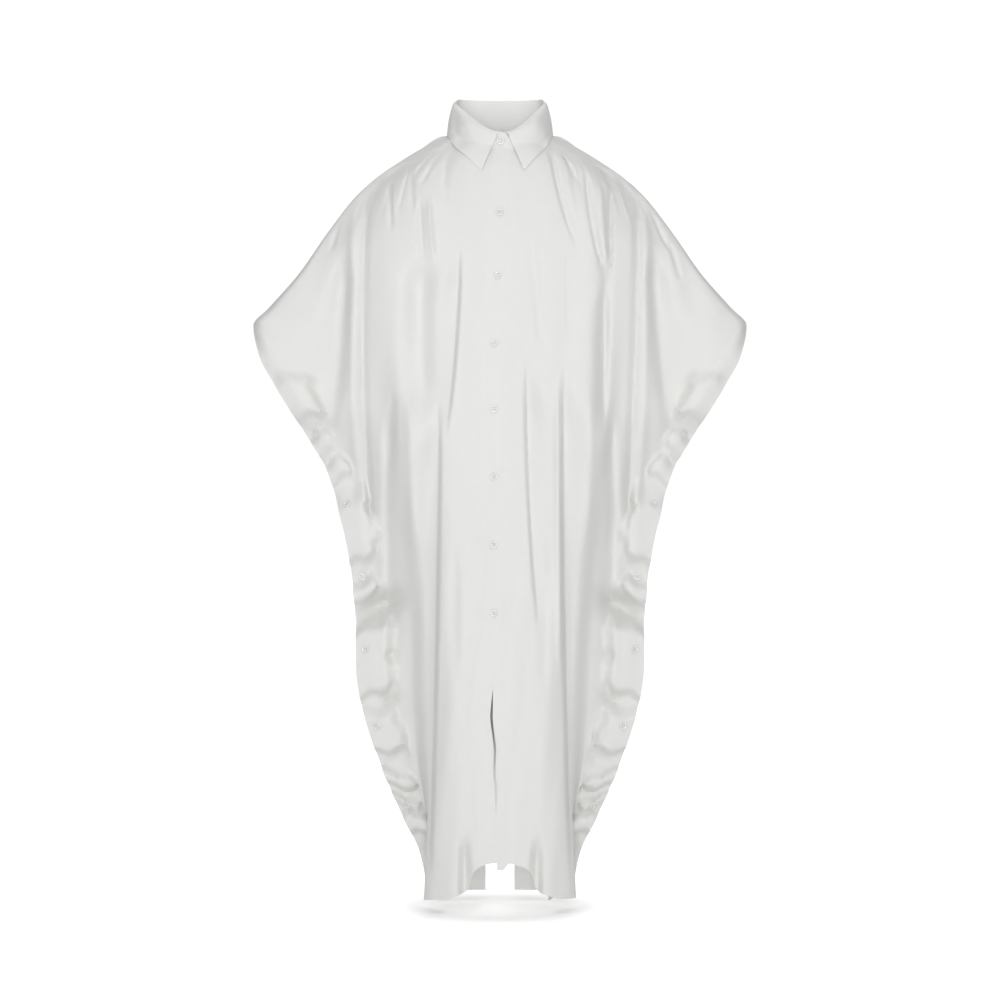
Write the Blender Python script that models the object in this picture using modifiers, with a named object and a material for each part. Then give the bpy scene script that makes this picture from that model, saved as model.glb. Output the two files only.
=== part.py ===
"""Shirt dress: a wide kaftan-cut shirt dress in white cotton poplin, worn open and hollow.

Metres, +Z up. The origin is the middle of the line between the two points where neck and shoulder
meet. The front faces -Y, so the wearer's left is on +X. Tables are in millimetres: "drop" is how far
a place lies below the origin, "x" how far it lies from the centre line, "y" how far behind the origin.
"""

import math

import bmesh
import bpy
import numpy as np
from mathutils import Vector

MM = 0.001

# Walls and gaps (mm)
CLOTH = 1.0
BAND_CLOTH = 1.2
COLLAR_CLOTH = 1.4
SEAM_GAP = 0.9
YOKE_GAP = 1.0
STAND_GAP = 0.8
LAY_GAP = 0.5
BUTTON_SHANK = 1.5
POCKET_LAY_GAP = 0.6

# Garment sizes (mm)
YOKE_HALF_WIDTH = 200.0
YOKE_FRONT_DROP = 18.0
YOKE_BACK_DROP = 92.0
SLEEVE_POINT_DROP = 284.0
BAND_WIDTH = 35.0
BAND_START_DROP = 232.0
PLACKET_WIDTH = 34.0
FRONT_HEM_DROP = 1126.0
FRONT_HEM_RISE = 54.0
BACK_HEM_DROP = 1150.0
VENT_TOP_DROP = 900.0
VENT_HALF_WIDTH = 24.0
NECK_CORNER_X = 61.0
SHOULDER_X = 75.0
POCKET_TOP_DROP = 188.0
POCKET_SIDE_DROP = 303.0
POCKET_POINT_DROP = 312.0
POCKET_INNER_X = 96.0
POCKET_OUTER_X = 150.0

# Buttons (mm)
BUTTON_DIAMETER = 11.5
BUTTON_THICKNESS = 2.6
BUTTON_RIM = 2.0
BUTTON_DISH = 0.7
BUTTON_EDGE = 0.5
BUTTON_HOLE = 1.7
BUTTON_HOLE_SPACING = 3.0
FRONT_BUTTON_DROPS = (126.0, 219.0, 318.0, 414.0, 512.0, 611.0, 710.0)
SIDE_BUTTON_DROPS = (448.0, 552.0, 661.0, 768.0, 883.0, 1002.0)
SIDE_BUTTON_INSET = 16.0
COLLAR_BUTTON_RISE = 0.42

# How finely the cloth is divided
NECK_COLUMNS = 5
SHOULDER_COLUMNS = 12
OVERARM_ROWS = 5
YOKE_NECK_COLUMNS = 5
YOKE_SHOULDER_COLUMNS = 6
YOKE_FRONT_ROWS = 2
YOKE_BACK_ROWS = 4
COLLAR_FRONT_COLUMNS = 5
LEAF_ROWS = 3
BUTTON_STEPS = 12


def table(names, *rows):
    """A table with named columns. Its first column is what the others are read at."""
    return {name: np.array([row[i] for row in rows], float) for i, name in enumerate(names.split())}


# The side outline, front view: the shoulder and overarm down to the sleeve point, then the side edge.
SIDE = table(
    "drop   x",
    (-2, 76),
    (13, 106),
    (29, 134),
    (57, 176),
    (90, 215),
    (143, 257),
    (207, 302),
    (258, 347),
    (284, 370),
    (333, 358),
    (375, 335),
    (444, 293),
    (506, 257),
    (554, 243),
    (646, 224),
    (740, 216),
    (801, 215),
    (843, 209),
    (926, 185),
    (1000, 155),
    (1080, 119),
    (1160, 104),
)

# Level sections of the front: centre, outer side of the front column, valley beside it, band seam, edge.
FRONT = table(
    "drop  centre_y  column_x column_y  valley_x valley_y  seam_in seam_y  edge_y",
    (-2,   -50,   30, -44,   52, -34,   12,  -16,  -0.9),
    (20,   -68,   60, -54,   85, -40,   14,  -22,  -0.9),
    (60,   -88,   92, -77,  132, -58,   20,  -32,  -0.9),
    (115, -106,  112, -98,  168, -76,   28,  -42,  -0.9),
    (180, -119,  122, -112, 188, -86,   40,  -52,  -0.9),
    (258, -127,  124, -119, 195, -88,   70,  -58,  -0.9),
    (284, -129,  124, -120, 196, -86,   80,  -60,   -2),
    (345, -132,  122, -121, 190, -78,   66,  -58,  -36),
    (410, -134,  119, -121, 178, -64,   54,  -44,  -26),
    (450, -135,  117, -120, 168, -54,   44,  -22,   -3),
    (530, -136,  113, -117, 152, -42,   38,  -13,   -2),
    (640, -136,  108, -108, 138, -32,   36,  -11,   -2),
    (740, -135,  105,  -98, 128, -24,   36,  -10,   -2),
    (840, -134,  104,  -90, 124, -20,   36,   -9,   -2),
    (926, -133,  105,  -86, 118, -18,   36,   -8,   -2),
    (1000, -132, 107,  -82, 108, -22,   36,   -8,   -2),
    (1080, -131, 110,  -78,  90, -32,   36,   -9,   -2),
    (1160, -130, 113,  -76,  78, -34,   36,   -9,   -2),
)

# The same sections of the back, where the valley keeps the two columns apart in the same way.
BACK = table(
    "drop  centre_y  column_x column_y  valley_x valley_y  seam_in seam_y  edge_y",
    (-2,   80,   30,  74,   52,  58,   12,  32,  0.9),
    (20,   92,   60,  82,   85,  64,   14,  34,  0.9),
    (60,  108,   92,  98,  132,  74,   20,  40,  0.9),
    (115, 124,  112, 116,  168,  88,   28,  48,  0.9),
    (180, 132,  124, 126,  188,  96,   40,  56,  0.9),
    (258, 134,  128, 129,  195,  94,   70,  60,  0.9),
    (284, 134,  128, 129,  196,  92,   80,  62,    2),
    (345, 133,  126, 127,  190,  82,   66,  58,   36),
    (410, 131,  122, 123,  178,  66,   54,  44,   26),
    (450, 130,  119, 120,  168,  56,   44,  22,    3),
    (530, 129,  114, 115,  152,  42,   38,  13,    2),
    (640, 128,  110, 108,  138,  32,   36,  11,    2),
    (740, 128,  108, 100,  128,  26,   36,  10,    2),
    (840, 129,  108,  94,  124,  22,   36,   9,    2),
    (926, 130,  108,  90,  118,  20,   36,   8,    2),
    (1000, 131, 109,  86,  108,  24,   36,   8,    2),
    (1080, 132, 111,  84,   90,  32,   36,   9,    2),
    (1160, 133, 112,  82,   78,  34,   36,   9,    2),
)

# How far the two side bands together swing forward (-) or back (+) of the middle, down the side edge.
# The cloth beside them is divided at the same heights.
BAND_SWAY = table(
    "drop  y",
    (BAND_START_DROP, 0),
    (262, 0),
    (294, 0),
    (330, 0),
    (370, 0),
    (410, 0),
    (450, 0),
    (500, -5),
    (552, 2),
    (610, -7),
    (661, 3),
    (715, -6),
    (768, 2),
    (825, -7),
    (883, 2),
    (940, -6),
    (1002, 3),
    (1060, -4),
    (1160, 0),
)

# The front edges: where the middle of each front band lies. They part below the last button.
OPENING = table(
    "drop  over_x under_x",
    (27,    4,   4),
    (126,   0,   0),
    (219,  -3,  -3),
    (318,  -9,  -9),
    (710,  -9,  -9),
    (770, -20,  -1),
    (828, -29.5, 8),
    (900, -26.5, 11.5),
    (968, -24.5, 12.5),
    (1070, -21.5, 13.5),
)

# Large folds: a path down the cloth, its half width, and how far it stands out (+) or sinks in (-).
FRONT_FOLDS = table(
    "side x_top drop_top x_foot drop_foot half depth",
    (-1, 104,  160, 103,  420, 23, -10),
    (-1, 130,  380, 127,  700, 23,  10),
    (-1, 150,  100, 152,  360, 21,  -9),
    (-1, 166,  380, 182,  640, 23, -10),
    (-1, 200,  100, 190,  640, 20, -11),
    (-1, 223,  130, 214,  520, 20,   9),
    (-1, 236,  190, 262,  430, 26, -11),
    (-1,  84,  470,  84, 1300, 22,   5),
    (-1,  50, 1030,  48, 1300, 20,  -7),
    (1,  108,  110, 110,  240, 22,  -5),
    (1,  156,   90, 156,  440, 23, -13),
    (1,  130,  380, 127,  700, 23,  10),
    (1,  168,  400, 182,  640, 23,  -9),
    (1,  200,  100, 190,  620, 20, -11),
    (1,  223,  130, 214,  520, 20,   9),
    (1,  238,  230, 264,  430, 26, -11),
    (1,   40,  350,  56,  760, 24,  -6),
    (1,   84,  470,  84, 1300, 22,   5),
    (1,   52, 1030,  52, 1300, 20,  -7),
)
BACK_FOLDS = table(
    "side x_top drop_top x_foot drop_foot half depth",
    (-1,  40,  100,  44,  640, 24,   9),
    (-1,  76,  120,  74,  900, 24, -11),
    (-1, 118,  110, 112,  620, 24,  10),
    (-1, 158,  110, 160,  520, 24, -12),
    (-1, 204,  150, 196,  560, 24,   9),
    (-1, 246,  210, 250,  430, 26, -10),
    (-1,  60,  700,  58, 1300, 22,   7),
    (1,   46,  110,  52,  700, 24,  10),
    (1,   86,  130,  80,  940, 24, -10),
    (1,  124,  110, 118,  560, 24,   9),
    (1,  166,  120, 160,  560, 24, -11),
    (1,  200,  150, 194,  500, 24,   9),
    (1,  240,  210, 252,  430, 26, -10),
    (1,   56,  760,  60, 1300, 22,   7),
)

# Half of the collar from centre front (0) to centre back (1): neck seam, top of the stand, leaf's edge.
COLLAR = table(
    "at    neck_x neck_y neck_z   top_x top_y top_z   leaf_x leaf_y leaf_z",
    (0.00,   0,  -71, -27,     0,  -72,  -4,    30, -95, -63),
    (0.08,  18,  -70, -26.5,  12,  -70.5, -2.5, 33, -94, -61),
    (0.20,  40,  -64, -23,    28,  -62,   7,    48, -84, -44),
    (0.34,  61,  -47, -15,    46,  -42,  24,    68, -60, -23),
    (0.50,  75,    0,  -0.5,  64,    2,  48,    80,   2,   3),
    (0.70,  64,   38,  11,    56,   38,  57,    70,  50,  12),
    (0.86,  36,   60,  19,    33,   58,  61,    40,  77,  17),
    (1.00,   0,   68,  22,     0,   66,  62,     0,  85,  18),
)
COLLAR_SHIFT_X = 4.0
CORNER_AT = 0.34
SHOULDER_AT = 0.50
LEAF_START_AT = 0.045
LEAF_LIFT = 1.6
LEAF_ROLL = 4.0
STAND_EXTENSION = 0.07
STAND_LAP = 1.0

STATIONS = np.linspace(0.0, 1.0, 7)
SAMPLES = np.linspace(0.0, 1.0, 241)


def ease(t):
    """0 to 1 with a soft start and end."""
    t = np.clip(t, 0.0, 1.0)
    return t * t * (3 - 2 * t)


def mix(a, b, share):
    return a + (b - a) * share


def along(knots, values, at):
    """Values at places between the knots, on a smooth curve that never swings past a knot."""
    at = np.clip(np.atleast_1d(np.asarray(at, float)), knots[0], knots[-1])
    values = np.asarray(values, float)
    if values.ndim == 1:
        values = np.repeat(values[:, None], at.size, axis=1)
    slope = np.diff(values, axis=0) / np.diff(knots)[:, None]
    before, after = slope[:-1], slope[1:]
    same_way = before * after > 0
    middle = np.where(same_way, 2 * before * after / np.where(same_way, before + after, 1.0), 0.0)
    tangent = np.vstack([slope[:1], middle, slope[-1:]])
    left = np.clip(np.searchsorted(knots, at, side="right") - 1, 0, len(knots) - 2)
    each = np.arange(at.size)
    span = knots[left + 1] - knots[left]
    t = (at - knots[left]) / span
    return (
        (1 + 2 * t) * (1 - t) ** 2 * values[left, each]
        + t * (1 - t) ** 2 * span * tangent[left, each]
        + t**2 * (3 - 2 * t) * values[left + 1, each]
        - t**2 * (1 - t) * span * tangent[left + 1, each]
    )


def read(rows, column, at):
    """A table's column at the given places of its first column."""
    return along(rows[next(iter(rows))], rows[column], at)


def section(rows, drop, across):
    """x and y on one level section, from the centre line (0) to the side edge (1)."""
    drop, across = np.broadcast_arrays(np.atleast_1d(drop).astype(float), across)
    columns = "centre_y column_x column_y valley_x valley_y seam_in seam_y edge_y"
    centre_y, column_x, column_y, valley_x, valley_y, seam_in, seam_y, edge_y = (
        read(rows, name, drop) for name in columns.split()
    )
    edge_x = read(SIDE, "x", drop)
    sway = read(BAND_SWAY, "y", drop)
    seam_x = edge_x - seam_in
    rounding = 1 - ease((drop - SLEEVE_POINT_DROP) / 130)
    turn_x = mix(seam_x, edge_x, 0.5 + 0.34 * rounding)
    turn_y = mix(edge_y, seam_y, 0.5 + 0.1 * rounding)
    breast_y = mix(centre_y, column_y, 0.12)
    outline_x = [0 * drop, 0.55 * column_x, column_x, valley_x, seam_x, turn_x, edge_x]
    outline_y = [
        centre_y,
        breast_y,
        column_y,
        valley_y + 0.3 * sway,
        seam_y + 0.8 * sway,
        turn_y + sway,
        edge_y + sway,
    ]
    return along(STATIONS, np.stack(outline_x), across), along(STATIONS, np.stack(outline_y), across)


def across_at_x(rows, drop, x):
    """How far across the section each x lies, on the stretch that faces front or back."""
    found = []
    for one_drop, one_x in zip(drop, x):
        outline, _ = section(rows, one_drop, SAMPLES)
        turn = int(np.argmax(outline)) + 1
        found.append(np.interp(one_x, outline[:turn], SAMPLES[:turn]))
    return np.array(found)


def across_from_edge(rows, drop, width):
    """How far across the section lies the place that is this width of cloth in from the side edge."""
    found = []
    for one_drop, one_width in zip(drop, width):
        x, y = section(rows, one_drop, SAMPLES[::-1])
        cloth = np.concatenate([[0.0], np.cumsum(np.hypot(np.diff(x), np.diff(y)))])
        found.append(np.interp(one_width, cloth, SAMPLES[::-1]))
    return np.array(found)


def ridge_drop(x):
    """How low the shoulder and overarm line lies at this distance from the centre."""
    drops = np.linspace(SIDE["drop"][0], SLEEVE_POINT_DROP, SAMPLES.size)
    return np.interp(x, read(SIDE, "x", drops), drops)


def yoke_front_seam(x):
    fade = 1 - ease((x - 0.6 * YOKE_HALF_WIDTH) / (0.4 * YOKE_HALF_WIDTH))
    return ridge_drop(x) + YOKE_FRONT_DROP * fade


def yoke_back_seam(x):
    """Nearly level, and a little higher at its ends, where it meets the overarm line."""
    return mix(YOKE_BACK_DROP, ridge_drop(YOKE_HALF_WIDTH), (x / YOKE_HALF_WIDTH) ** 2)


def front_top(x):
    """Top edge of a front: the neck seam, then the yoke's front seam out to the shoulder."""
    front_half = COLLAR["at"] <= SHOULDER_AT
    neck = -along(COLLAR["neck_x"][front_half], COLLAR["neck_z"][front_half], x)
    return np.where(x < NECK_CORNER_X, neck, yoke_front_seam(x)) + YOKE_GAP


def back_top(x):
    return yoke_back_seam(x) + YOKE_GAP


def front_hem(x):
    """The hem is cut up in the middle of the front and falls lower at the sides."""
    return FRONT_HEM_DROP - FRONT_HEM_RISE * (1 - ease((x - 34) / 20))


def back_hem(x):
    return BACK_HEM_DROP + 0 * x


def front_edge(side, drop):
    """How far from the centre line a front starts, beside its band."""
    middle = read(OPENING, "under_x" if side > 0 else "over_x", drop)
    return PLACKET_WIDTH / 2 + SEAM_GAP + side * middle


def back_edge(side, drop):
    """How far from the centre line a back starts: at the centre seam, then at the vent, which spreads evenly."""
    spread = (drop - VENT_TOP_DROP) / (BACK_HEM_DROP - VENT_TOP_DROP)
    return SEAM_GAP / 2 + VENT_HALF_WIDTH * np.clip(spread, 0, 1)


PARTS = {
    "front": {
        "rows": FRONT,
        "folds": FRONT_FOLDS,
        "top": front_top,
        "hem": front_hem,
        "edge": front_edge,
        "corner": NECK_CORNER_X,
        "out": -1,
    },
    "back": {
        "rows": BACK,
        "folds": BACK_FOLDS,
        "top": back_top,
        "hem": back_hem,
        "edge": back_edge,
        "corner": SHOULDER_X,
        "out": 1,
    },
}


def band_width(drop):
    """The side band starts as a point on the overarm seam and widens to its full width."""
    return BAND_WIDTH * ease((drop - BAND_START_DROP) / 70) ** 0.7


def relief(folds, side, x, drop):
    """How far the large folds lift the cloth outwards, in mm."""
    lift = np.zeros_like(x)
    for fold_side, x_top, drop_top, x_foot, drop_foot, half, depth in zip(*folds.values()):
        if fold_side == side:
            down = (drop - drop_top) / (drop_foot - drop_top)
            middle = mix(x_top, x_foot, np.clip(down, 0, 1))
            reach = ease((down + 0.1) / 0.25) * ease((1.1 - down) / 0.25)
            lift += depth * reach * np.exp(-3 * ((x - middle) / half) ** 2)
    return lift


def on_part(part, side, across, drop, inset=0.0):
    """Points of a part's outer face in mm, moved in along y by the inset."""
    x, y = section(part["rows"], drop, across)
    free = ease((1 - across) / 0.12) * ease((drop - part["top"](x) + 4) / 45)
    lift = relief(part["folds"], side, x, drop) * free - inset
    return np.stack([side * x, y + part["out"] * lift, -drop], axis=-1)


def side_drops(part):
    """Row heights along the outer side of a panel: down the overarm, then at each swing of the side band."""
    shoulder = part["top"](np.array([YOKE_HALF_WIDTH]))
    hem = part["hem"](np.array([YOKE_HALF_WIDTH]))
    overarm = np.linspace(shoulder[0], BAND_START_DROP, OVERARM_ROWS, endpoint=False)
    beside_band = BAND_SWAY["drop"][BAND_SWAY["drop"] < hem]
    return np.concatenate([overarm, beside_band, hem])


def panel_grid(part, side):
    """Corners of half a front or back: rows run down from its top seam, columns out from its centre edge."""
    rows = part["rows"]
    outer_drop = side_drops(part)
    down = (outer_drop - outer_drop[0]) / (outer_drop[-1] - outer_drop[0])
    start_x = part["edge"](side, part["top"](np.zeros(1)))[0]
    neck_x = np.linspace(start_x, part["corner"], NECK_COLUMNS + 1)
    top_x = np.append(neck_x, np.linspace(part["corner"], YOKE_HALF_WIDTH, SHOULDER_COLUMNS + 1)[1:])
    u = (top_x - start_x) / (YOKE_HALF_WIDTH - start_x)
    top_drop = part["top"](top_x)
    top_across = np.append(across_at_x(rows, top_drop[:-1], top_x[:-1]), 1.0)
    centre_hem = part["hem"](np.zeros(1))
    hem_in = across_at_x(rows, centre_hem, part["edge"](side, centre_hem))
    hem_out = across_from_edge(rows, outer_drop[-1:], [BAND_WIDTH + SEAM_GAP])
    hem_x, _ = section(rows, outer_drop[-1], mix(hem_in, hem_out, u))
    hem_drop = np.where(u > 0.7, outer_drop[-1], part["hem"](hem_x))
    drop = mix(top_drop[None, :], hem_drop[None, :], down[:, None])
    width = band_width(outer_drop)
    inner = across_at_x(rows, drop[:, 0], part["edge"](side, drop[:, 0]))
    outer = across_from_edge(rows, outer_drop, np.where(outer_drop >= BAND_START_DROP, width + SEAM_GAP, 0))
    across = mix(inner[:, None], outer[:, None], u[None, :])
    across = mix(top_across[None, :], across, ease(down / 0.12)[:, None])
    return on_part(part, side, across.ravel(), drop.ravel()).reshape(down.size, u.size, 3)


def band_grid(part, side):
    """Corners of a side band: one column, from its seam to the side edge. Its rows are the panel's own."""
    seam_drop = side_drops(part)[OVERARM_ROWS:]
    lead = SLEEVE_POINT_DROP - BAND_START_DROP
    edge_drop = seam_drop + lead * (1 - ease((seam_drop - BAND_START_DROP) / 110))
    drop = np.stack([seam_drop, edge_drop], axis=-1).ravel()
    width = np.stack([band_width(seam_drop), 0 * seam_drop], axis=-1).ravel()
    across = across_from_edge(part["rows"], drop, width)
    return on_part(part, side, across, drop).reshape(seam_drop.size, 2, 3)


def placket_grid(column, inset, beside):
    """Corners of a front band, three across. Its rows are those of the front it is sewn to."""
    drop = -beside[:, 0, 2]
    middle = read(OPENING, column, drop)
    lines = []
    for offset in (-0.5, 0.0, 0.5):
        x = middle + offset * PLACKET_WIDTH
        across = across_at_x(FRONT, drop, np.abs(x))
        right = on_part(PARTS["front"], -1, across, drop, inset)
        left = on_part(PARTS["front"], 1, across, drop, inset)
        lines.append(np.where(x[:, None] < 0, right, left))
    return np.stack(lines, axis=1)


def collar_point(kind, at):
    """A point on half of the collar: kind is neck, top or leaf."""
    x, y, z = (read(COLLAR, f"{kind}_{axis}", at) for axis in "xyz")
    return np.stack([x, y, z], axis=-1)


def shift_collar(points, at):
    """The collar's front sits a little to the wearer's left of the centre line."""
    points = points.copy()
    points[..., 0] += COLLAR_SHIFT_X * (1 - ease(at / SHOULDER_AT))
    return points


def outward(points, distance):
    """The points moved away from the neck's own axis, level."""
    level = points * (1, 1, 0)
    return points + level / np.linalg.norm(level, axis=-1, keepdims=True) * np.expand_dims(distance, -1)


def ring_row(kind, s):
    """A row of collar points: s runs from -1 at centre front over 0 at centre back to 1 at centre front."""
    at = 1 - np.abs(s)
    points = collar_point(kind, np.abs(at))
    points[:, 0] *= np.sign(s) * np.where(at < 0, -1, 1)
    return shift_collar(points, np.abs(at))


def around(first):
    """Places round the collar, from -1 to 1, with the same columns as the yoke has at the neck."""
    front = np.linspace(first, CORNER_AT, COLLAR_FRONT_COLUMNS + 1)
    side = np.linspace(CORNER_AT, SHOULDER_AT, YOKE_FRONT_ROWS + 1)[1:]
    back = np.linspace(SHOULDER_AT, 1, YOKE_NECK_COLUMNS + 1)[1:]
    half = 1 - np.concatenate([front, side, back])
    return np.concatenate([-half, half[-2::-1]])


def stand_grid():
    """Corners of the collar stand. Its right end laps over its left end, with the button between."""
    s = around(-STAND_EXTENSION)
    lap = STAND_LAP * (ease((-s - 0.84) / 0.1) - ease((s - 0.84) / 0.1))
    rows = np.stack([outward(ring_row(kind, s), lap) for kind in ("neck", "top")])
    rows[0, :, 2] += STAND_GAP
    return rows


def leaf_grid():
    """Corners of the collar leaf, which folds over at the stand's top and falls to its outer edge."""
    s = around(LEAF_START_AT)
    top = outward(ring_row("top", s), LEAF_LIFT + 0 * s) + (0, 0, 1)
    edge = ring_row("leaf", s)
    fall = np.linspace(0, 1, LEAF_ROWS + 1)
    rows = [outward(mix(top, edge, f), LEAF_ROLL * math.sin(math.pi * f) + 0 * s) for f in fall]
    return np.stack(rows)


def yoke_grid():
    """Corners of the yoke. Columns run across the shoulders, rows from the front seam to the back seam."""
    neck, shoulder = YOKE_NECK_COLUMNS, YOKE_SHOULDER_COLUMNS
    half = []
    over = np.linspace(0, 1, YOKE_FRONT_ROWS + 1)
    down = np.linspace(0, 1, YOKE_BACK_ROWS + 1)[1:]
    for column in range(neck + shoulder + 1):
        out = max(0.0, (column - neck) / shoulder)
        back_x = mix(0.0, SHOULDER_X, min(1.0, column / neck))
        if column < neck:
            start = collar_point("neck", mix(1.0, SHOULDER_AT, column / neck))
            first = np.repeat(start, YOKE_FRONT_ROWS + 1, axis=0)
        else:
            ring = collar_point("neck", mix(CORNER_AT, SHOULDER_AT, over))
            x = mix(ring[:, 0], YOKE_HALF_WIDTH - 1, out)
            drop = mix(yoke_front_seam(x), ridge_drop(x), 1 - (1 - over) ** 1.6)
            y = section(FRONT, drop, across_at_x(FRONT, drop, x))[1] * (1 - over**3)
            on_ring = 1 - ease(3 * out)
            y = mix(y, ring[:, 1], on_ring)
            z = mix(-drop, ring[:, 2], on_ring)
            first = np.stack([x, y, z], axis=-1)
            start = first[-1:]
            back_x = x[-1]
        steep = mix(1.0, 1.6, min(1.0, column / neck))
        x = mix(start[0, 0], back_x, down)
        end_drop = yoke_back_seam(back_x)
        drop = mix(-start[0, 2], end_drop, down**steep)
        y = section(BACK, drop, across_at_x(BACK, drop, x))[1]
        y = mix(start[0, 1], y, ease(down / 0.5))
        half.append(np.concatenate([first, np.stack([x, y, -drop], axis=-1)]))
    half = np.stack(half, axis=1)
    return np.concatenate([half[:, :0:-1] * (-1, 1, 1), half], axis=1)


def off_yoke(column, row):
    """Faces of the yoke's grid that would lie over the neck opening."""
    middle = YOKE_NECK_COLUMNS + YOKE_SHOULDER_COLUMNS
    return row < YOKE_FRONT_ROWS and middle - YOKE_NECK_COLUMNS <= column < middle + YOKE_NECK_COLUMNS


def at_grid(grid, column, row):
    """The point of a grid at a column and row that may lie between its corners."""
    left, top = int(column), int(row)
    left, top = min(left, grid.shape[1] - 2), min(top, grid.shape[0] - 2)
    upper = mix(grid[top, left], grid[top, left + 1], column - left)
    lower = mix(grid[top + 1, left], grid[top + 1, left + 1], column - left)
    return mix(upper, lower, row - top)


def cut_pocket(bm):
    """Leaves of the left front's own faces only those under the pocket, and moves them out."""
    middle = (POCKET_INNER_X + POCKET_OUTER_X) / 2
    point = (middle, 0, -POCKET_POINT_DROP)
    slope = (POCKET_POINT_DROP - POCKET_SIDE_DROP) / (middle - POCKET_INNER_X)
    cuts = (
        ((POCKET_INNER_X, 0, 0), (-1, 0, 0)),
        ((POCKET_OUTER_X, 0, 0), (1, 0, 0)),
        ((0, 0, -POCKET_TOP_DROP), (0, 0, 1)),
        (point, (-slope, 0, -1)),
        (point, (slope, 0, -1)),
    )
    for spot, direction in cuts:
        everything = bm.verts[:] + bm.edges[:] + bm.faces[:]
        bmesh.ops.bisect_plane(
            bm, geom=everything, dist=1e-6, plane_co=Vector(spot) * MM, plane_no=direction, clear_outer=True
        )
    bmesh.ops.translate(bm, verts=bm.verts[:], vec=(0, -POCKET_LAY_GAP * MM, 0))


def poplin(name, roughness=0.75):
    material = bpy.data.materials.new(name)
    material.use_nodes = True
    shader = material.node_tree.nodes["Principled BSDF"]
    shader.inputs["Base Color"].default_value = (0.75, 0.76, 0.73, 1)
    shader.inputs["Roughness"].default_value = roughness
    shader.inputs["Metallic"].default_value = 0.0
    return material


def add_sheet(name, grid, wall, grow, inside, skip=None, cut=None):
    """A grid primitive bent to the given corners, faces away from the inside point, with a wall.

    grow is -1 where the wall grows in from the corners and 1 where it grows out.
    """
    rows, columns = grid.shape[0] - 1, grid.shape[1] - 1
    bm = bmesh.new()
    bmesh.ops.create_grid(bm, x_segments=columns, y_segments=rows, size=0.5)
    spots = {vert: (round((vert.co.x + 0.5) * columns), round((vert.co.y + 0.5) * rows)) for vert in bm.verts}
    for vert, (column, row) in spots.items():
        vert.co = Vector(grid[row, column] * MM)
    if skip:
        dropped = [
            face
            for face in bm.faces
            if skip(min(spots[vert][0] for vert in face.verts), min(spots[vert][1] for vert in face.verts))
        ]
        bmesh.ops.delete(bm, geom=dropped, context="FACES")
    bmesh.ops.triangulate(bm, faces=bm.faces[:], quad_method="FIXED")
    if cut:
        cut(bm)
    bm.normal_update()
    centre = Vector(inside) * MM
    if sum(face.calc_area() * face.normal.dot(face.calc_center_median() - centre) for face in bm.faces) < 0:
        bmesh.ops.reverse_faces(bm, faces=bm.faces[:])
    mesh = bpy.data.meshes.new(name)
    bm.to_mesh(mesh)
    bm.free()
    mesh.shade_smooth()
    mesh.materials.append(poplin(f"poplin_{name}"))
    sheet = bpy.data.objects.new(name, mesh)
    garment.objects.link(sheet)
    solidify = sheet.modifiers.new("wall", "SOLIDIFY")
    solidify.thickness = wall * MM
    solidify.offset = grow
    return sheet


def button_mesh():
    """A turned four-hole button: the profile runs from the dished face over the rim to the back."""
    radius, half = BUTTON_DIAMETER / 2, BUTTON_THICKNESS / 2
    profile = [
        (0, half - BUTTON_DISH),
        (radius - BUTTON_RIM - BUTTON_EDGE, half - BUTTON_DISH),
        (radius - BUTTON_RIM, half),
        (radius - BUTTON_EDGE, half),
        (radius, half - BUTTON_EDGE),
        (radius - BUTTON_EDGE, -half),
        (0, -half),
    ]
    bm = bmesh.new()
    verts = [bm.verts.new((x * MM, 0, z * MM)) for x, z in profile]
    for first, second in zip(verts, verts[1:]):
        bm.edges.new((first, second))
    mesh = bpy.data.meshes.new("button_profile")
    bm.to_mesh(mesh)
    bm.free()
    turned = bpy.data.objects.new("button_profile", mesh)
    cutters.objects.link(turned)
    screw = turned.modifiers.new("turn", "SCREW")
    screw.steps = screw.render_steps = BUTTON_STEPS
    screw.use_merge_vertices = True
    screw.merge_threshold = 0.00001
    bm = bmesh.new()
    for corner in range(4):
        hole = bmesh.ops.create_cone(
            bm,
            segments=4,
            radius1=BUTTON_HOLE / 2 * MM,
            radius2=BUTTON_HOLE / 2 * MM,
            depth=3 * BUTTON_THICKNESS * MM,
            cap_ends=True,
        )
        side_x, side_y = (-1, 1, 1, -1)[corner], (-1, -1, 1, 1)[corner]
        offset = Vector((side_x, side_y, 0)) * BUTTON_HOLE_SPACING / 2 * MM
        bmesh.ops.translate(bm, verts=hole["verts"], vec=offset)
    mesh = bpy.data.meshes.new("button_holes")
    bm.to_mesh(mesh)
    bm.free()
    holes = bpy.data.objects.new("button_holes", mesh)
    cutters.objects.link(holes)
    cut = turned.modifiers.new("holes", "BOOLEAN")
    cut.operation = "DIFFERENCE"
    cut.solver = "EXACT"
    cut.object = holes
    for helper in (turned, holes):
        helper.hide_render = True
        helper.display_type = "WIRE"
    graph = bpy.context.evaluated_depsgraph_get()
    button = bpy.data.meshes.new_from_object(turned.evaluated_get(graph))
    button.name = "button"
    button.materials.clear()
    button.materials.append(poplin("polyester_button", roughness=0.3))
    return button


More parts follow.
